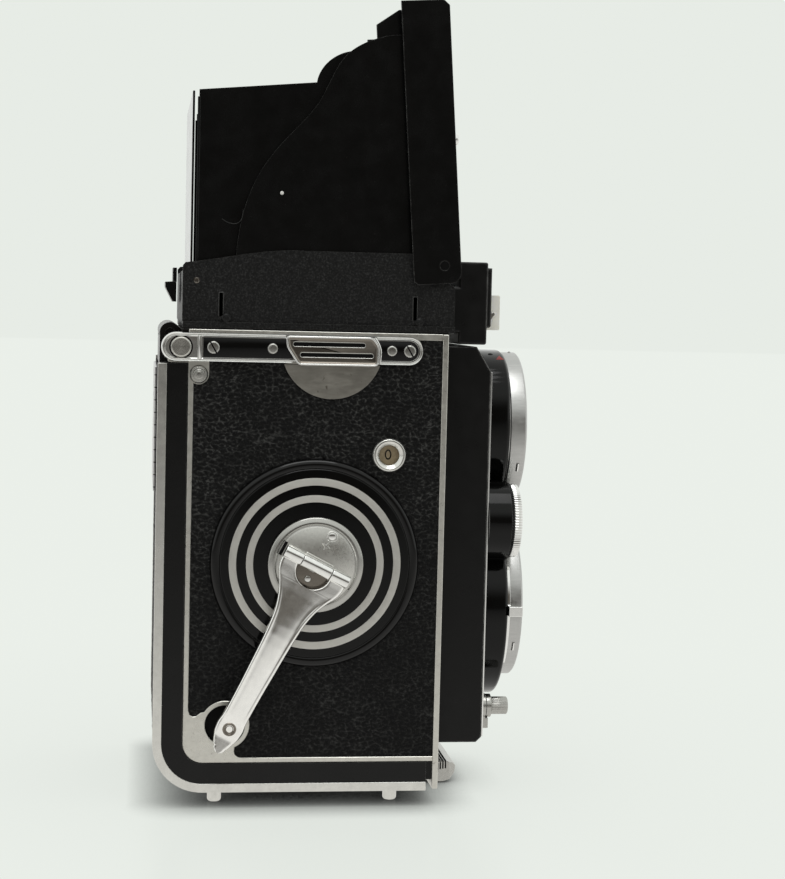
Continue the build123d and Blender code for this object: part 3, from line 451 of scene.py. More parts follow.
def inset_loop(loop, distance):
    """Moves a closed counter-clockwise 2-D loop inwards by distance along mitred normals."""
    out = []
    for i, point in enumerate(loop):
        a, p, b = Vector(loop[i - 1]), Vector(point), Vector(loop[(i + 1) % len(loop)])
        before, after = p - a, b - p
        if before.length < 1e-9 or after.length < 1e-9:
            before = after = b - a
        before, after = before.normalized(), after.normalized()
        square = Vector((-before.y, before.x))
        normal = Vector((-(before + after).y, (before + after).x))
        normal = (square if normal.length < 1e-9 else normal).normalized()
        out.append(p + normal * distance / max(0.5, normal.dot(square)))
    return out


def bands(rows, closed=True):
    """Faces between neighbouring rows of points; a row of one point is a tip."""
    faces = []
    for one, two in zip(rows, rows[1:]):
        count = max(len(one), len(two))
        for k in range(count if closed else count - 1):
            n = (k + 1) % count
            if len(one) == 1:
                faces.append((one[0], two[k], two[n]))
            elif len(two) == 1:
                faces.append((one[k], one[n], two[0]))
            else:
                faces.append((one[k], one[n], two[n], two[k]))
    return faces


def loft(name, loops, mat, caps=True, closed=True, **where):
    """A surface through loops of points in millimetres, with or without its two end faces."""
    rows, count = [], 0
    for loop in loops:
        rows.append(range(count, count + len(loop)))
        count += len(loop)
    ends = [tuple(reversed(rows[0])), tuple(rows[-1])] if caps else []
    add(name, [p for loop in loops for p in loop], bands(rows, closed) + ends, mat, **where)


def ring(centre, axis, height, radii):
    """Points round an axis at a height above centre, one for each radius."""
    w = Vector(axis).normalized()
    u = Vector((0, 0, 1)) if abs(w.z) < 0.9 else Vector((1, 0, 0))
    u = (u - w * u.dot(w)).normalized()
    v = w.cross(u)
    middle = Vector(centre) + w * height
    turns = [2 * math.pi * k / len(radii) for k in range(len(radii))]
    return [middle + (u * math.cos(a) + v * math.sin(a)) * r for a, r in zip(turns, radii)]


def lathe(name, profile, centre, axis, mat, seg=96, r=0.12, **where):
    """Revolves (radius, height) points round an axis; corners get the radius r."""
    profile = soften(profile, r, 3, closed=False) if r else profile
    rings = [(height, [radius] * (seg if radius > 1e-6 else 1)) for radius, height in profile]
    loft(name, [ring(centre, axis, *level) for level in rings], mat, caps=False, **where)


def knurled(name, radius, high, teeth, depth, centre, axis, mat, bevel=0.3, **where):
    """A disc with straight rounded teeth on its rim and a slightly sunk face."""
    per_tooth = 6
    wave = [0.5 * math.cos(2 * math.pi * k / per_tooth) - 0.5 for k in range(per_tooth)] * teeth
    levels = [(0, -bevel, 0.35), (bevel, 0, 1.0), (high - bevel, 0, 1.0), (high, -bevel, 0.35)]
    rim = [(height, [radius + shrink + depth * share * w for w in wave]) for height, shrink, share in levels]
    flat = radius - bevel - depth
    face = [(high, flat - 0.4), (high - 0.12, flat - 0.7), (high - 0.12, 0.4)]
    rings = [(0, [0.4] * len(wave))] + rim + [(height, [r] * len(wave)) for height, r in face]
    loft(name, [ring(centre, axis, *level) for level in rings], mat, sharp=50, **where)


def plate(name, outline, section, to_world, mat, **where):
    """A flat plate; section lists (inset, height) of its edge, from the bottom to the top face."""
    outline = counter_clockwise(outline)
    loops = [[to_world(*p, height) for p in inset_loop(outline, inset)] for inset, height in section]
    loft(name, loops, mat, **where)


def pierced_plate(name, outline, holes, low, high, bevel, to_world, mat, **where):
    """A flat plate with holes and a small bevel on every upper edge."""
    bm = bmesh.new()
    top_edges = []
    for loop, sign in [(outline, 1)] + [(hole, -1) for hole in holes]:
        loop = counter_clockwise(loop)
        rows = []
        for inset, height in ((0, low), (0, high - bevel), (sign * bevel, high)):
            rows.append([bm.verts.new(to_world(*q, height) * MM) for q in inset_loop(loop, inset)])
        for quad in bands(rows):
            bm.faces.new(quad)
        top = rows[-1]
        top_edges += [bm.edges.get(pair) for pair in zip(top, top[1:] + top[:1])]
    bmesh.ops.triangle_fill(bm, edges=top_edges, use_beauty=True)
    bmesh.ops.recalc_face_normals(bm, faces=bm.faces)
    mesh = bpy.data.meshes.new(name)
    bm.to_mesh(mesh)
    bm.free()
    place(name, mesh, mat, sharp=30, **where)


def tube(name, points, radius, mat, seg=8, **where):
    """A round wire through points, closed at both ends."""
    points = [Vector(p) for p in points]
    loops, side = [], None
    for i, p in enumerate(points):
        along = (points[min(i + 1, len(points) - 1)] - points[max(i - 1, 0)]).normalized()
        side = side or along.orthogonal().normalized()
        side = (side - along * side.dot(along)).normalized()
        other = along.cross(side)
        turns = [2 * math.pi * k / seg for k in range(seg)]
        loops.append([p + (side * math.cos(a) + other * math.sin(a)) * radius for a in turns])
    loft(name, loops, mat, **where)


def small_mark(name, at, normal, radius, mat, seg=24, height=0.05, **where):
    lathe(name, [(0, height), (radius * 0.8, height), (radius, 0)], at, normal, mat, seg, 0, **where)


# ==== leather
def pebbles(a, b, seed, cell=1.35):
    """Height 0..1 of a pebbled grain at points a, b: rounded cells between narrow creases."""
    rng = np.random.default_rng(seed)
    size = 96
    jitter = rng.random((size, size, 2))
    tone = rng.random((size, size))
    warp_a = a + 0.45 * cell * np.sin(b / (1.7 * cell) + 1.3 * np.sin(a / (2.9 * cell)))
    warp_b = b + 0.38 * cell * np.sin(a / (2.1 * cell) + 1.1 * np.sin(b / (2.3 * cell)))
    ga, gb = warp_a / (cell * 1.25), warp_b / (cell * 0.9)
    ia, ib = np.floor(ga).astype(int), np.floor(gb).astype(int)
    near = np.full(a.shape, 9.0)
    second = np.full(a.shape, 9.0)
    level = np.zeros(a.shape)
    for da in (-1, 0, 1):
        for db in (-1, 0, 1):
            ka, kb = (ia + da) % size, (ib + db) % size
            d = np.hypot(ia + da + jitter[ka, kb, 0] - ga, ib + db + jitter[ka, kb, 1] - gb)
            closer = d < near
            second = np.where(closer, near, np.minimum(second, d))
            level = np.where(closer, tone[ka, kb], level)
            near = np.where(closer, d, near)
    crease = np.clip((second - near) / 0.42, 0, 1)
    crease = crease * crease * (3 - 2 * crease)
    return crease * (0.62 + 0.38 * level) * (1 - 0.35 * np.clip(near, 0, 1))


def leather_sheet(name, a_range, b_range, step, place_point, keep, seed, depth=0.30, **where):
    """A dense pebbled sheet; keep(a, b) says which points belong to it."""
    a = np.arange(a_range[0], a_range[1] + step / 2, step)
    b = np.arange(b_range[0], b_range[1] + step / 2, step)
    grid_a, grid_b = np.meshgrid(a, b, indexing="ij")
    height = pebbles(grid_a, grid_b, seed) * depth
    height += 0.05 * np.sin(grid_a / 6.1 + 0.8 * np.sin(grid_b / 8.3)) * depth
    inside = keep(grid_a, grid_b)
    index = np.full(inside.shape, -1)
    index[inside] = np.arange(inside.sum())
    verts = [place_point(*point) for point in zip(grid_a[inside], grid_b[inside], height[inside])]
    i, j = np.nonzero(inside[:-1, :-1] & inside[1:, :-1] & inside[1:, 1:] & inside[:-1, 1:])
    faces = np.stack([index[i, j], index[i + 1, j], index[i + 1, j + 1], index[i, j + 1]], 1).tolist()
    obj = add(name, verts, faces, LEATHER, sharp=180, **where)
    relief = obj.data.attributes.new("relief", "FLOAT", "POINT")
    relief.data.foreach_set("value", (height[inside] / depth).astype(np.float32))


def side_area(holes):
    """The side sheet's area, with its round lower corner and round holes as (y, z, radius)."""
    def keep(y, z):
        inside = (y > -37.3) & (y < 29.7) & (z > 13.3) & (z < 127.1)
        inside &= (y <= CORNER[0]) | (z >= CORNER[1]) | (np.hypot(y - CORNER[0], z - CORNER[1]) <= 4.4)
        for hole_y, hole_z, radius in holes:
            inside &= np.hypot(y - hole_y, z - hole_z) > radius
        return inside
    return keep


RIGHT_HOLES = ((*CRANK, 27.0), (*POCKET, 5.9), (*STUD, 2.6), (*COUNTER, 4.0))
LEFT_HOLES = ((*FOCUS, 3.2), (*FEED, 2.7), (*TAKEUP, 2.7))
for (side, label), holes, seed, step in zip(SIDES, (RIGHT_HOLES, LEFT_HOLES), (3, 11), (0.235, 0.30)):
    leather_sheet("side_leather_" + label, (-37.4, 29.8), (13.2, 127.2), step, side_plane(38.5, side),
                  side_area(holes), seed, replace="side_leathers")
leather_sheet("back_leather_cover", (-36.8, 36.8), (19.1, 118.4), 0.3, lambda x, z, h: (x, 38.52 + h, z),
              lambda x, z: (abs(x) >= 23.5) | (z <= 84.5) | (z >= 117.5), 21, body="back_door",
              replace="back_leather")
leather_sheet("front_leather", (-38.3, 38.3), (5.6, 127.8), 0.26, lambda x, z, h: (x, -(38.72 + h), z),
              lambda x, z: (abs(x) > 31.2) | (z < 15.3) | (z > 125.6), 31, depth=0.2)

# ==== side trims
# An open frame round the leather; the crank side's also holds the rest pocket and the stud's tab.
FRAME = [(-37.2, 12.3)] + arc(*CORNER, 5.4, -90, 0, 12)
FRAME += [(30.7, 128.6), (-37.2, 128.6), (-37.2, 126.9)] + arc(28.2, 125.7, 1.2, 90, 0, 6)
STUD_NOTCH = arc(*STUD, 2.35, 53.4, -53.4, 16)
GUSSET = [(29.4, 27.6), (29.36, 26.4), (29.0, 25.35), (28.2, 24.85), (27.2, 25.0), (26.0, 25.9)]
GUSSET += arc(*POCKET, 6.6, 33, 246, 40)
GUSSET += [(16.95, 15.3), (16.7, 14.4), (15.9, 13.75), (14.8, 13.6), (-37.2, 13.6)]
PLAIN = arc(*CORNER, 4.1, 0, -90, 10) + [(-37.2, 13.6)]
CRANK_SIDE = (STUD_NOTCH + GUSSET, [arc(*POCKET, 5.4, 0, 354, 60)])
PATCH = soften([(30.5, 119.8), (36.2, 119.8), (36.2, 124.2), (30.5, 124.2)], 0.4)
for (side, label), (inner, holes) in zip(SIDES, (CRANK_SIDE, (PLAIN, []))):
    pierced_plate("side_trim_" + label, FRAME + inner, holes, 37.6, 39.0, 0.12, side_plane(0, side), TRIM,
                  replace="side_trims")
    plate("trim_corner_" + label, PATCH, [(0, 0), (0, 1.25), (0.12, 1.38)], side_plane(37.6, side), TRIM)
pierced_plate("stud_tab", [(25.3, 120.9), (30.7, 120.9)] + arc(*STUD, 2.7, 0, -180, 24),
              [arc(*STUD, 2.35, 0, 350, 36)], 0, 1.42, 0.1, side_plane(37.6), TRIM)
skin("door_rims", CHROME, 0.16, 3)
skin("back_door", LACQUER, 0.12)
skin("front_plate", TRIM, 0.3, 3)
skin("lug_wear_plates", WEAR, 0.08)

# the stud that frees the door's hinge: concentric turned steps
lathe("hinge_release_stud", [(0, 1.75), (0.7, 1.75), (0.9, 1.25), (1.3, 1.2), (1.4, 0.95), (1.75, 0.95),
                             (1.85, 0.7), (2.1, 0.7), (2.2, 0.5), (2.28, 0.4), (2.28, 0.0), (0, 0)],
      (-39.05, *STUD), RIGHT, GREY, 64, 0.08, body="hinge_release", replace="hinge_release_button")

# frame counter: a dished bezel, and a ring-shaped numeral on the warm dial below it
lathe("counter_dish", [(4.6, 0), (4.6, 2.2), (4.2, 2.75), (3.7, 2.8), (2.65, 1.9), (2.6, 1.2), (2.6, 0),
                       (4.6, 0)], (-37.6, *COUNTER), RIGHT, CHROME, r=0.15, replace="counter_bezel")
DIGIT = [(-37.12, COUNTER[0] + 0.72 * y, COUNTER[1] + 1.2 * z) for y, z in arc(0, 0, 1, 0, 360, 33)]
tube("counter_numeral", DIGIT, 0.17, ENAMEL, body="frame_counter")

# ==== strap rails and lugs
# Rails: a double-beaded rim round black insets, a turn button in the rear bay, screws and rivets.
RAIL_Z = 123.9
RAIL_HALF = 2.62
RIM = [(0, 0), (0, 0.95), (0.08, 1.3), (0.24, 1.5), (0.40, 1.42), (0.52, 1.12), (0.64, 1.08), (0.76, 1.34),
       (0.88, 1.38), (1.02, 1.2), (1.12, 0.82)]
INSET = [(27.0, RAIL_Z - RAIL_HALF), (27.0, RAIL_Z + RAIL_HALF)] + arc(-27.9, RAIL_Z, RAIL_HALF, 90, 270)
DIVIDER = soften([(27.3, 120.7), (28.5, 120.7), (28.5, 127.1), (27.3, 127.1)], 0.2, 2)
HEADS = ((24.3, True), (8.6, False), (-23.25, False), (-28.1, True))  # y, slotted
# Lugs: coined plates with a raised bright rim, a rolled front end and two slots with lips.
LUG = [(5.3, 127.4), (4.9, 124.4), (1.9, 119.7), (-18.9, 119.7), (-19.7, 120.5), (-19.7, 125.2),
       (-17.9, 127.4)]
BEAD = [(5.1, 127.2), (4.75, 124.4), (1.8, 119.95), (-18.8, 119.95), (-19.45, 120.6), (-19.45, 125.1),
        (-17.8, 127.2)]
WRAP = [(41.55, -19.75, 120.3), (41.6, -19.9, 122.0), (41.6, -19.9, 124.0), (41.5, -19.4, 125.6),
        (41.3, -18.4, 127.3)]
LUG_SLOTS = ((-16.0, 3.4, 125.25), (-18.2, 1.5, 122.45))  # front, rear, z


def closed_tube(name, x, loop, radius, mat, seg=8):
    tube(name, [(x, y, z) for y, z in loop + loop[:1]], radius, mat, seg)


def rail_head(side, name, y, slotted):
    size = 1.72 if slotted else 1.45
    profile = [(0, 0.62), (size - 0.45, 0.58), (size - 0.12, 0.42), (size, 0.15), (size, 0)]
    lathe("rail_head_" + name, profile, (side * 39.95, y, RAIL_Z), (side, 0, 0), GREY, 48, 0.06)
    if slotted:
        ends = ((-1.6, -0.2), (1.6, -0.2), (1.6, 0.2), (-1.6, 0.2))
        slot = [(y + 0.5 * a - 0.87 * b, RAIL_Z + 0.87 * a + 0.5 * b) for a, b in ends]
        # the screw's slot is a thin matt black plate on the head: painted shade in the groove
        plate("rail_slot_shade_" + name, slot, [(0, 0), (0, 0.03), (0.02, 0.04)], side_plane(40.56, side), MATT)


for side, label in SIDES:
    plate("strap_rail_" + label, stadium(-31.8, 38.0, RAIL_Z, 3.9, 28), RIM, side_plane(39.0, side), POLISHED,
          replace="strap_rails")
    plate("rail_inset_" + label, INSET, [(0, 0), (0, 0.12), (0.1, 0.2)], side_plane(39.8, side), ENAMEL)
    plate("rail_divider_" + label, DIVIDER, [(0, 0), (0, 0.45), (0.12, 0.66), (0.3, 0.72)],
          side_plane(39.8, side), POLISHED)
    # a matt black disc a little wider than the turn button, seen as a dark ring: painted shade in the groove
    # round it
    lathe("turn_button_groove_shade_" + label, [(0, 0.06), (3.1, 0.06), (3.15, 0)], (side * 39.8, 32.8, RAIL_Z),
          (side, 0, 0), MATT, 64, 0, replace="rail_fasteners")
    lathe("turn_button_" + label, [(0, 0.62), (2.3, 0.7), (2.62, 0.55), (2.75, 0.3), (2.75, 0)],
          (side * 39.82, 32.8, RAIL_Z), (side, 0, 0), TURNED, 64, 0.05)
    for i, (y, slotted) in enumerate(HEADS):
        rail_head(side, f"{label}_{i}", y, slotted)
    plate("strap_lug_" + label, soften(LUG, 0.9, 5),
          [(0, 0), (0, 0.95), (0.12, 1.2), (0.35, 1.3), (0.6, 1.24), (0.85, 1.0), (1.1, 0.92)],
          side_plane(40.6, side), STEEL, replace="strap_lugs")
    closed_tube("lug_bead_" + label, side * 41.75, soften(BEAD, 0.9, 5), 0.27, POLISHED, 10)
    tube("lug_wrap_" + label, spline([(side * x, y, z) for x, y, z in WRAP], 6), 0.42, POLISHED, 10)
    for i, (front, rear, z) in enumerate(LUG_SLOTS):
        # each slot is a matt black plate on the solid lug: painted shade where the opening is
        plate(f"lug_slot_shade_{label}_{i}", stadium(front, rear, z, 0.62), [(0, 0), (0, 0.02), (0.02, 0.03)],
              side_plane(41.5, side), MATT)
        closed_tube(f"lug_lip_{label}_{i}", side * 41.56, stadium(front, rear, z, 0.66), 0.12, GREY)

# ==== winding crank
lathe("escutcheon_disc", [(0, 2.6), (25.3, 2.6), (25.55, 2.35), (25.55, 0), (3.4, 0)],
      (-37.6, *CRANK), RIGHT, ENAMEL, 180, 0.1, replace="crank_escutcheon")
lathe("escutcheon_rim", [(25.55, 0), (25.6, 2.3), (25.8, 2.44), (26.9, 2.4), (27.5, 2.2), (27.95, 1.75),
                         (28.15, 1.1), (28.2, 0)], (-37.6, *CRANK), RIGHT, SHIELD, 180, 0)
for i, (outer, inner) in enumerate(((23.1, 21.1), (18.5, 16.6))):
    lathe(f"escutcheon_ring_{i}", [(inner, 0), (inner, 0.16), (outer, 0.16), (outer, 0)],
          (-40.2, *CRANK), RIGHT, RINGS, 180, 0.06, replace="escutcheon_rings")

# the folded arm's own axes: along it towards the knob, across it, and out from the camera
ANGLE = math.radians(27.2)
CRANK_FACE = Vector((-40.35, *CRANK))
ALONG = Vector((0, math.sin(ANGLE), -math.cos(ANGLE)))
ACROSS = Vector((0, -math.cos(ANGLE), -math.sin(ANGLE)))


def crank_point(s, t, h):
    return CRANK_FACE + ALONG * s + ACROSS * t + Vector(RIGHT) * h


def on_hub(builder, name, *shape, **where):
    builder(name, *shape, body="crank_hub", **where)


on_hub(lathe, "crank_hub_disc", [(0, 2.92), (10.3, 2.92), (10.6, 2.75), (10.8, 2.75), (11.05, 2.98),
                                 (11.6, 2.9), (12.6, 2.45), (12.8, 2.2), (12.8, 0), (0, 0)],
       CRANK_FACE, RIGHT, HUB_RIM, 128, 0.1, replace="crank_hub")
on_hub(lathe, "crank_hub_face", [(0, 2.97), (10.2, 2.97), (10.3, 2.9)], CRANK_FACE, RIGHT, HUB, 128, 0)
DOT = (-7.99, 74.26)
on_hub(tube, "hub_ring_mark", [(-43.32, y, z) for y, z in arc(*DOT, 1.35, 0, 360, 41)], 0.16, POLISHED)
on_hub(lathe, "hub_dot_mark", [(0, 0.12), (0.75, 0.1), (0.95, 0.0)], (-43.32, *DOT), RIGHT, POLISHED, 32, 0)
REACH = (1.45, 0.85, 0.45, 0.85) * 4
STAR = [arc(-6.44, 71.62, reach, 35 + 22.5 * k, 0, 1)[0] for k, reach in enumerate(REACH)]
on_hub(plate, "hub_star_mark", STAR, [(0, 0), (0, 0.10), (0.18, 0.26)], side_plane(43.3), GREY)
for name, low, high, body in (("crank_hub_knuckle", -4.2, 4.2, "crank_hub"),
                              ("crank_arm_knuckle_a", -9.45, -4.4, "crank_arm"),
                              ("crank_arm_knuckle_b", 4.4, 9.45, "crank_arm")):
    lathe(name, [(0, low), (1.8, low), (1.8, high), (0, high)], crank_point(0, 0, 5.2), ACROSS, POLISHED, 64,
          0.16, body=body)
SADDLE = soften([(-2.2, -4.1), (0.9, -4.1), (0.9, 4.1), (-2.2, 4.1)], 0.4)
on_hub(plate, "crank_saddle", SADDLE, [(0, 2.9), (0, 4.4), (0.2, 4.6)], crank_point, HUB)
# a dark steel disc in the fork's mouth under the bar: painted shade
on_hub(lathe, "crank_well", [(0, 0.05), (4.2, 0.05), (4.6, 0)], crank_point(2.4, 0, 2.98), RIGHT, STEEL, 64, 0)
on_hub(lathe, "crank_well_screw", [(0, 0.55), (0.7, 0.5), (0.95, 0.2), (0.95, 0)],
       crank_point(4.2, -0.3, 3.0), RIGHT, POLISHED, 24, 0.05)
on_hub(plate, "crank_bar_shadow", [(-2.0, -10.4), (1.9, -10.4), (1.9, -9.55), (-2.0, -9.55)],
       [(0, 2.93), (0, 3.02)], crank_point, MATT)

# The arm, by distance s from the bar: its half width, its height, and the round mouth at the bar.
HALF_WIDTH = spline([(0.9, 9.4), (3.4, 9.25), (5.6, 8.5), (8.2, 7.0), (11.5, 5.7), (16, 4.75), (24, 4.15),
                     (36, 3.85), (45.5, 3.9), (48, 4.25), (50.3, 4.0), (52.3, 2.95), (54.0, 2.1)], 7)
SLIM = [(8, 1.0), (16, 0.94), (30, 0.93), (44, 0.87), (50, 0.86), (53, 1.0)]
HEIGHT = [(0, 4.9), (3, 4.96), (6, 5.12), (9, 5.38), (12, 5.74), (15, 6.10), (18, 6.40), (21, 6.58),
          (24, 6.62), (28, 6.55), (34, 6.32), (40, 6.02), (45.5, 5.74), (47.3, 5.46), (51.8, 5.36), (57, 6.0)]
TIP_S, TIP_R = 54.1, 1.8
MOUTH_S, MOUTH_R = 1.6, 4.72
WALL = 1.9


def between(points, s):
    """The value at s on a line through (s, value) points."""
    return float(np.interp(s, [p[0] for p in points], [p[1] for p in points]))


def arm_half_width(s):
    if s > TIP_S:
        return math.sqrt(max(0.0, TIP_R ** 2 - (s - TIP_S) ** 2)) + 0.02
    return between(SLIM, s) * between(HALF_WIDTH, s)


def arm_stations():
    mouth = [MOUTH_S + MOUTH_R * math.sin(a) for a in np.linspace(0.02, math.pi / 2, 22)]
    neck = [46, 46.6, 47.3, 48]
    tip = [TIP_S + TIP_R * math.sin(a) for a in np.linspace(0, math.pi / 2, 12)]
    return [*mouth, *np.arange(mouth[-1] + 0.4, neck[0], 0.5), *neck, *np.arange(48.5, TIP_S, 0.4), *tip]


def arm_section(s):
    """Half of the arm across, as (t, h) from the mouth or middle line out to its side wall."""
    w, top = arm_half_width(s), between(HEIGHT, s)
    inner = math.sqrt(max(0.0, MOUTH_R ** 2 - (s - MOUTH_S) ** 2))
    lip, rim = min(1.0, inner / 0.8), min(1.0, w / 2.0)
    line = [(inner, top - WALL * lip), (inner, top - 0.45 * lip), (inner + 0.1 * lip, top - 0.16 * lip),
            (inner + 0.35 * lip, top - 0.02 * lip)]
    start, end = inner + 0.5 * lip, w - 1.25 * rim
    dip = 0.16 * min(1.0, max(0.0, (46 - s) / 4)) * min(1.0, max(0.0, (s - 5) / 6))
    line += [(start + (end - start) * k / 5, top - dip * (k / 5) ** 3) for k in range(6)]
    line += [(w - 1.0 * rim, top - dip * 0.8), (w - 0.8 * rim, top - dip * 0.2), (w - 0.5 * rim, top - 0.04)]
    edge = ((0.22, 0.16), (0.06, 0.40), (0.02, 0.75))
    return line + [(w - a * rim, top - b * rim) for a, b in edge] + [(w, top - WALL)]


for name, side, replace in (("crank_arm_body_a", 1, "crank_arm"), ("crank_arm_body_b", -1, None)):
    loft(name, [[crank_point(s, side * t, h) for t, h in arm_section(s)] for s in arm_stations()], ARM,
         body="crank_arm", sharp=50, replace=replace)
lathe("crank_rivet", [(0, 0.45), (0.75, 0.45), (0.95, 0.62), (1.15, 0.50), (1.3, 0.72), (1.6, 0.76),
                      (1.85, 0.55), (1.85, 0)],
      crank_point(49, 0, 4.9), RIGHT, STEEL, 48, 0.06, body="crank_arm", slot="chrome")
lathe("crank_knob_grip", [(0, 0.3), (2.9, 0.3), (3.4, 0.9), (3.4, 3.3), (3.0, 3.9), (0, 3.9)],
      crank_point(49, 0, 0), RIGHT, POLISHED, 64, 0.3, body="crank_knob", replace="crank_knob")
# black cup that the folded knob rests in
lathe("knob_pocket", [(0, 0.1), (5.3, 0.1), (5.38, 0.4), (5.38, 1.25)], (-37.6, *POCKET), RIGHT, MATT, 64, 0)

# ==== lenses and front
VIEW_Z = 102.0
TAKE_Z = 51.5


def narrower_top(x, y, z):
    """The standard's upper end, moved in a little on each side."""
    return (math.copysign(1.8, -x), 0, 0) if z > 120 and abs(x) > 29 else (0, 0, 0)


def squarer_top(x, y, z):
    """Pushes the panel's upper shoulders out, so its top is flatter than a circle."""
    up, out = z - VIEW_Z, math.hypot(x, z - VIEW_Z)
    if up <= 0 or out < 19:
        return (0, 0, 0)
    grow = (abs(x / out) ** 2.6 + (up / out) ** 2.6) ** (-1 / 2.6) - 1
    return (x * grow, 0, up * grow)


skin("lens_standard", PLASTIC, 0.8, 4, nudge=narrower_top)
skin("lens_panel", ENAMEL, 0.3, 3, angle=40, nudge=squarer_top)
skin("panel_trim", POLISHED, 0.1)
HOOK_REACH = math.degrees(0.06)
for name, z, r in (("view", VIEW_Z, 21.3), ("take", TAKE_Z, 22.2)):
    lathe(name + "_bayonet", [(17.6, 0), (r - 0.3, 0), (r - 0.3, 0.3), (r, 0.5), (r, 4.5), (r - 0.55, 5.0),
                              (18.9, 5.0), (18.4, 4.3), (17.6, 4.1), (17.6, 0)],
          (0, -59.6, z), FRONT, BAYONET, 160, 0.14, body="lens_standard", replace="lens_bayonets")
    for k in range(3):
        turn = 90 + 120 * k
        hook = [(x, -62.6, h) for x, h in arc(0, z, r - 0.15, turn + HOOK_REACH, turn - HOOK_REACH, 6)]
        tube(f"{name}_bayonet_hook_{k}", hook, 0.5, POLISHED, body="lens_standard")

WHEEL_Z = 76.6
for node, x in (("aperture_wheel", -21.5), ("shutter_speed_wheel", 21.5)):
    knurled(node + "_rim", 10.25, 2.2, 84, 0.34, (x, -59.7, WHEEL_Z), FRONT, POLISHED, body=node,
            replace=node)
    knurled(node + "_skirt", 10.6, 0.75, 84, 0.34, (x, -58.95, WHEEL_Z), FRONT, ENAMEL, 0.12, body=node)
    lathe(node + "_cap", [(0, 0.45), (2.2, 0.45), (2.6, 0.2), (7.6, 0.2), (8.4, 0.0)], (x, -61.8, WHEEL_Z),
          FRONT, POLISHED, 64, 0.1, body=node)
knurled("shutter_release", 2.45, 5.2, 30, 0.1, (-25, -54.9, 24.7), FRONT, GREY, 0.25, body="shutter_button",
        replace="shutter_button")
lathe("release_collar_ring", [(2.5, 0), (3.25, 0), (3.25, 1.4), (2.5, 1.4), (2.5, 0)], (-25, -53.9, 24.7),
      FRONT, GREY, 48, body="lens_standard", replace="release_collar")
skin("release_lock_lever", GREY, 0.15)
skin("self_timer_lever", POLISHED, 0.2)
small_mark("focus_index", (-12.75, -57.74, 121.85), (-0.542, 0, 0.84), 1.35, RED, 3, body="lens_standard")
small_mark("panel_screw", (-10.2, -55.5, 122.85), (-0.44, 0, 0.9), 0.7, MATT, body="lens_standard",
           slot="steel")

# ==== meter
skin("meter_housing", PLASTIC, 0.55, 3)
WINDOW = [(129.9, -50.9), (129.9, -54.6), (130.2, -54.9), (139.2, -54.9), (139.5, -54.6), (139.5, -50.9)]


def window_section(x):
    """The meter window's section at x; its front is ribbed, 1.5 mm a rib."""
    rib = 0.34 * (0.5 + 0.5 * math.cos(2 * math.pi * x / 1.5))
    return [(x, y - (rib if y < -53.5 else 0), z) for z, y in WINDOW]


loft("meter_lens_array", [window_section(x) for x in np.linspace(-24, 24, 385)], LENSLET.mat, closed=False,
     sharp=60, replace="meter_window")
CLIP = soften([(-52.0, 133.0), (-52.8, 132.7), (-53.3, 133.6), (-53.9, 134.2), (-53.5, 134.9), (-52.9, 134.6),
               (-52.6, 135.6), (-52.0, 135.9)], 0.25, 2)
for side, label in SIDES:
    plate("meter_clip_" + label, CLIP, [(0, 0), (0, 0.5), (0.1, 0.6)], side_plane(24.1, side), GREY,
          slot="black_lacquer")

# ==== hood
skin("hood_base", CRINKLE, 0.3, 3)
skin("hood_lid", LID, 0.45, 4, outer_only=True,
     nudge=lambda x, y, z: (0, 0, 0.75 if z > 209 and abs(x) > 35.3 else 0))
skin("finder_flap", HOOD, 0.12)
skin("magnifier_frame", HOOD, 0.15)
skin("hood_rear_panel", ENAMEL, 0.2)
for wing in ("front_wing_right", "front_wing_left", "rear_wing_right", "rear_wing_left"):
    skin(wing, HOOD, 0.12)
skin("hood_catch", LACQUER, 0.25, 3)
skin("screen_frame", LACQUER, 0.2)
small_mark("wing_rivet", (-35.92, 6.7, 165.2), RIGHT, 0.5, WHITE, height=0.12, body="front_wing_right")
TONGUE = ((22.5, 157.9), (20.6, 156.9), (18.6, 156.8), (17.3, 158.0), (16.9, 160.4))
tube("wing_tongue", spline([(-35.97, y, z) for y, z in TONGUE], 6), 0.12, HOOD, body="front_wing_right")
for side, label in SIDES:
    lathe("lid_stud_" + label, [(0, 2.1), (1.3, 2.0), (1.6, 1.5), (1.6, 1.0), (2.1, 0.9), (2.1, 0)],
          (side * 31.0, -39.2, 181.4), (0, -1, -0.07), POLISHED, 48, 0.2, body="hood_lid")
    hook = [(side * 35.3, y, z) for y, z in ((-25.9, 211.5), (-26.6, 209.9), (-27.4, 208.4))]
    tube("finder_hook_" + label, spline(hook, 4), 0.3, GREY, 10, body="hood_lid")
    for i, y in enumerate((22.4, -29.6)):
        rib = soften([(y - 0.7, 132.0), (y + 0.7, 132.0), (y + 0.7, 138.6), (y - 0.7, 138.6)], 0.4, 3)
        plate(f"base_rib_{label}_{i}", rib, [(0, 0), (0, 0.15), (0.15, 0.3)], side_plane(37.2, side), RIB_HIGHLIT)
        lathe(f"base_rib_foot_{label}_{i}", [(0, 0.9), (0.9, 0.8), (1.3, 0.4), (1.4, 0)],
              (side * 37.2, y - 1.4, 131.6), (side, 0, 0), CRINKLE, 24, 0.1)
    lathe("base_screw_" + label, [(0, 0.06), (0.45, 0.06), (0.55, 0.16), (0.8, 0.12), (0.85, 0)],
          (side * 37.2, 28.9, 141.5), (side, 0, 0), STEEL, 24, 0)

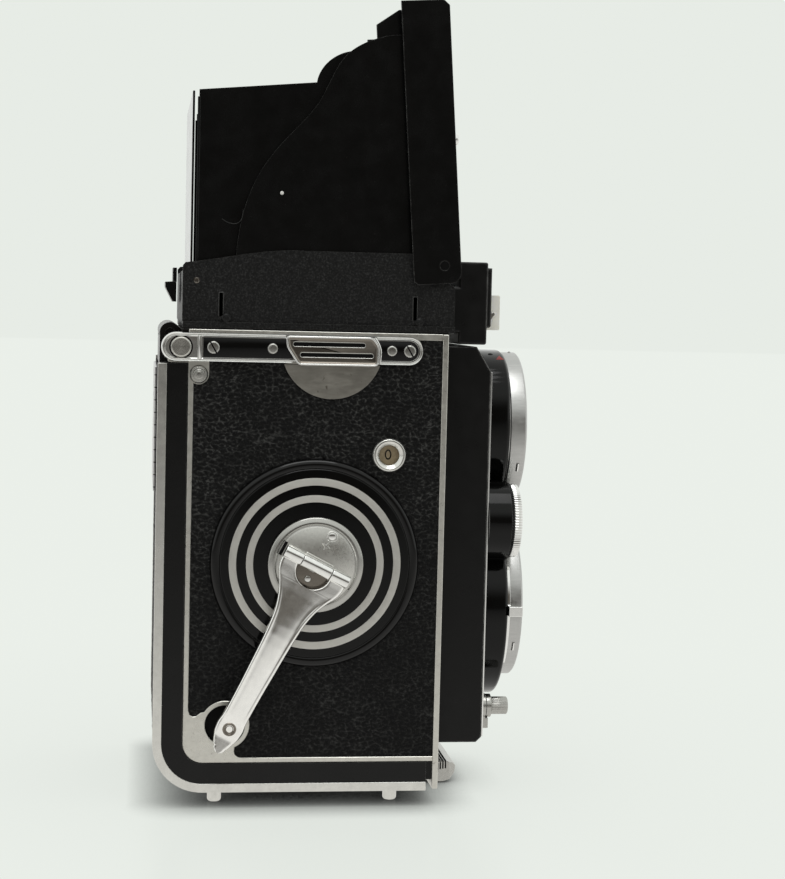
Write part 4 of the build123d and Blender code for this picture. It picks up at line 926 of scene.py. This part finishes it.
# ==== far side, feet, back
knurled("focus_knob_grip", 17.0, 8.6, 96, 0.5, (39.4, *FOCUS), LEFT, LACQUER, 0.5, body="focus_knob",
        replace="focus_knob")
lathe("focus_knob_face", [(0, 3.4), (11.4, 3.4), (12.0, 4.2), (14.0, 4.2), (14.6, 3.6), (14.6, 0), (0, 0)],
      (47.8, *FOCUS), LEFT, ENAMEL, 128, 0.25, body="focus_knob")
lathe("focus_knob_ring", [(11.9, 0), (12.4, 0.2), (13.6, 0.2), (14.1, 0)], (52.0, *FOCUS), LEFT, POLISHED,
      128, 0, body="focus_knob")
lathe("focus_knob_screw", [(0, 0.6), (2.4, 0.6), (3.0, 0.0)], (51.2, *FOCUS), LEFT, POLISHED, 48, 0.1,
      body="focus_knob")
for label, at in (("feed", FEED), ("takeup", TAKEUP)):
    node = label + "_spool_knob"
    knurled(label + "_knob_grip", 7.0, 4.4, 48, 0.32, (39.3, *at), LEFT, POLISHED, 0.4, body=node,
            replace=node)
    lathe(label + "_knob_cap", [(0, 0.9), (4.6, 0.9), (5.4, 0.2), (5.4, 0)], (43.6, *at), LEFT, POLISHED, 64,
          0.2, body=node)

for i, (x, y) in enumerate(((-31, 21.75), (31, 21.75), (-31, -26.6), (31, -26.6))):
    lathe(f"foot_{i}", [(0, 0), (1.5, 0), (1.9, 0.5), (1.9, 4.3), (0, 4.3)], (x, y, 0), (0, 0, 1), CHROME, 48,
          0.25, body="back_door", replace="feet")
skin("back_latch", GREY, 0.5, 3, nudge=lambda x, y, z: (0, 1.2 if y < -43 else 0, min(0, -0.5 * (z - 4.5))))
# the latch tab's serration grooves as thin matt black wires: painted shade in the grooves
for i in range(5):
    y = -42.0 - 0.75 * i
    z = float(np.interp(y, [-45.0, -44.0, -41.6], [6.3, 6.2, 5.5]))
    half = [(14.08, z - 2.2), (14.08, z - 0.3), (13.6, z)]
    groove = [(-x, y, h) for x, h in half] + [(x, y, h) for x, h in reversed(half)]
    tube(f"latch_serration_shade_{i}", groove, 0.2, MATT, body="back_latch", slot="steel")
skin("tripod_socket", SOCKET, 0.2)
skin("back_lock_ring", SOCKET, 0.2)
skin("exposure_guide", GUIDE, 0.2)

# ==== CAD nodes shown as they are
PLAIN_NODES = {
    "body_casting": LACQUER, "hinge_pins": MATT, "film_rollers": CHROME, "frame_counter_dial": DIAL.mat,
    "takeup_spool": ENAMEL, "feed_spool": ENAMEL, "pressure_plate": PLASTIC, "reflex_mirror": MIRROR.mat,
    "focusing_screen": SCREEN.mat, "lens_barrels": ENAMEL, "lens_elements": GLASS, "magnifier_lens": GLASS,
}
for node, mat in PLAIN_NODES.items():
    slots = frame["nodes"][node].data.materials
    slots.clear()
    slots.append(mat)

# ==== studio
BACKDROP = (0.800, 0.838, 0.790)
# how bright the table looks in the camera body's reflections: distance towards the viewer in metres, level
TABLE = [(0.0, 0.80), (0.15, 0.78), (0.30, 0.60), (0.55, 0.46), (1.0, 0.36), (2.0, 0.22), (3.0, 0.13)]
TABLE_REACH = TABLE[-1][0]


def blank_tree(owner):
    """The emptied node tree of a world or a material."""
    owner.use_nodes = True
    owner.node_tree.nodes.clear()
    return Tree(owner.node_tree)


def studio():
    """White tent all round, with a dark room behind the viewer; seen directly it is the pale backdrop."""
    scene.world = bpy.data.worlds.new("studio")
    t = blank_tree(scene.world)
    way = t.node("SeparateXYZ", (t.node("TexCoord").outputs["Generated"],)).outputs
    aside = t.range(way["X"], -0.96, -0.35, interpolation_type="SMOOTHSTEP")
    above_room = t.range(way["Z"], 0.16, 0.55, interpolation_type="SMOOTHSTEP")
    dark = t.math("MULTIPLY", t.math("SUBTRACT", 1.0, aside), t.math("SUBTRACT", 1.0, above_room))
    lit = t.node("Background", (t.mix(dark, (0.93, 0.95, 0.92), (0.105, 0.096, 0.083)),))
    seen = t.node("Background", (BACKDROP,))
    direct = t.node("LightPath").outputs["Is Camera Ray"]
    t.node("OutputWorld", (t.node("MixShader", (direct, lit, seen)),))


def floor():
    """Pale seamless paper: even to the eye, darkened where the camera body stands over it."""
    mat = bpy.data.materials.new("paper_floor")
    t = blank_tree(mat)
    near = t.node("AmbientOcclusion", {"Distance": 0.014}, samples=8).outputs["AO"]
    wide = t.node("AmbientOcclusion", {"Distance": 0.20}, samples=8).outputs["AO"]
    shade = t.math("MULTIPLY", t.math("POWER", near, 1.25), t.math("POWER", wide, 0.16))
    paper = t.mix(1.0, BACKDROP, shade, blend_type="MULTIPLY")
    place_x = t.node("SeparateXYZ", (t.node("TexCoord").outputs["Object"],)).outputs["X"]
    away = t.math("DIVIDE", t.math("MULTIPLY", place_x, -1.0), TABLE_REACH)
    table = t.ramp(away, [(x / TABLE_REACH, (level, level * 0.99, level * 0.95)) for x, level in TABLE])
    direct = t.node("LightPath").outputs["Is Camera Ray"]
    glow = t.node("Emission", (t.mix(direct, table, paper), 1.04))
    gloss = t.node("BsdfGlossy", {"Roughness": 0.25})
    t.node("OutputMaterial", (t.node("MixShader", (0.05, glow, gloss)),))
    mesh = bpy.data.meshes.new("floor")
    mesh.from_pydata([(-6, -6, 0), (6, -6, 0), (6, 6, 0), (-6, 6, 0)], [], [(0, 1, 2, 3)])
    mesh.materials.append(mat)
    obj = bpy.data.objects.new("floor", mesh)
    scene.collection.objects.link(obj)
    obj.location.z = -0.0001
    obj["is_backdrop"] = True


def overhead_light():
    light = bpy.data.lights.new("overhead", "AREA")
    light.shape = "RECTANGLE"
    light.size = light.size_y = 0.45
    light.energy = 1.6
    obj = bpy.data.objects.new("overhead", light)
    scene.collection.objects.link(obj)
    obj.location = (-0.25, 0.0, 0.80)
    obj.rotation_mode = "QUATERNION"
    obj.rotation_quaternion = (Vector((0, 0, 0.1)) - obj.location).to_track_quat("-Z", "Y")


def viewpoint():
    """The camera that sees what the photo shows: turned, tilted down and rolled a little."""
    turn, tilt, roll = math.radians(7.6), math.radians(4.0), math.radians(1.37)
    look = Vector((math.cos(tilt) * math.cos(turn), -math.cos(tilt) * math.sin(turn), -math.sin(tilt)))
    level = look.cross(Vector((0, 0, 1))).normalized()
    upright = level.cross(look)
    right = level * math.cos(roll) + upright * math.sin(roll)
    above = upright * math.cos(roll) - level * math.sin(roll)
    camera = bpy.data.objects.new("camera", bpy.data.cameras.new("camera"))
    scene.collection.objects.link(camera)
    turned = Matrix((right, above, -look)).transposed().to_4x4()
    camera.matrix_world = Matrix.Translation((-0.54403, 0.04329, 0.13576)) @ turned
    camera.data.lens = 77.82
    camera.data.sensor_width = 36.0
    camera.data.clip_start = 0.01
    camera.data.clip_end = 20
    return camera


studio()
floor()
overhead_light()
scene.camera = viewpoint()
scene.view_settings.view_transform = "Standard"

bpy.context.view_layer.update()
low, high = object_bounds()
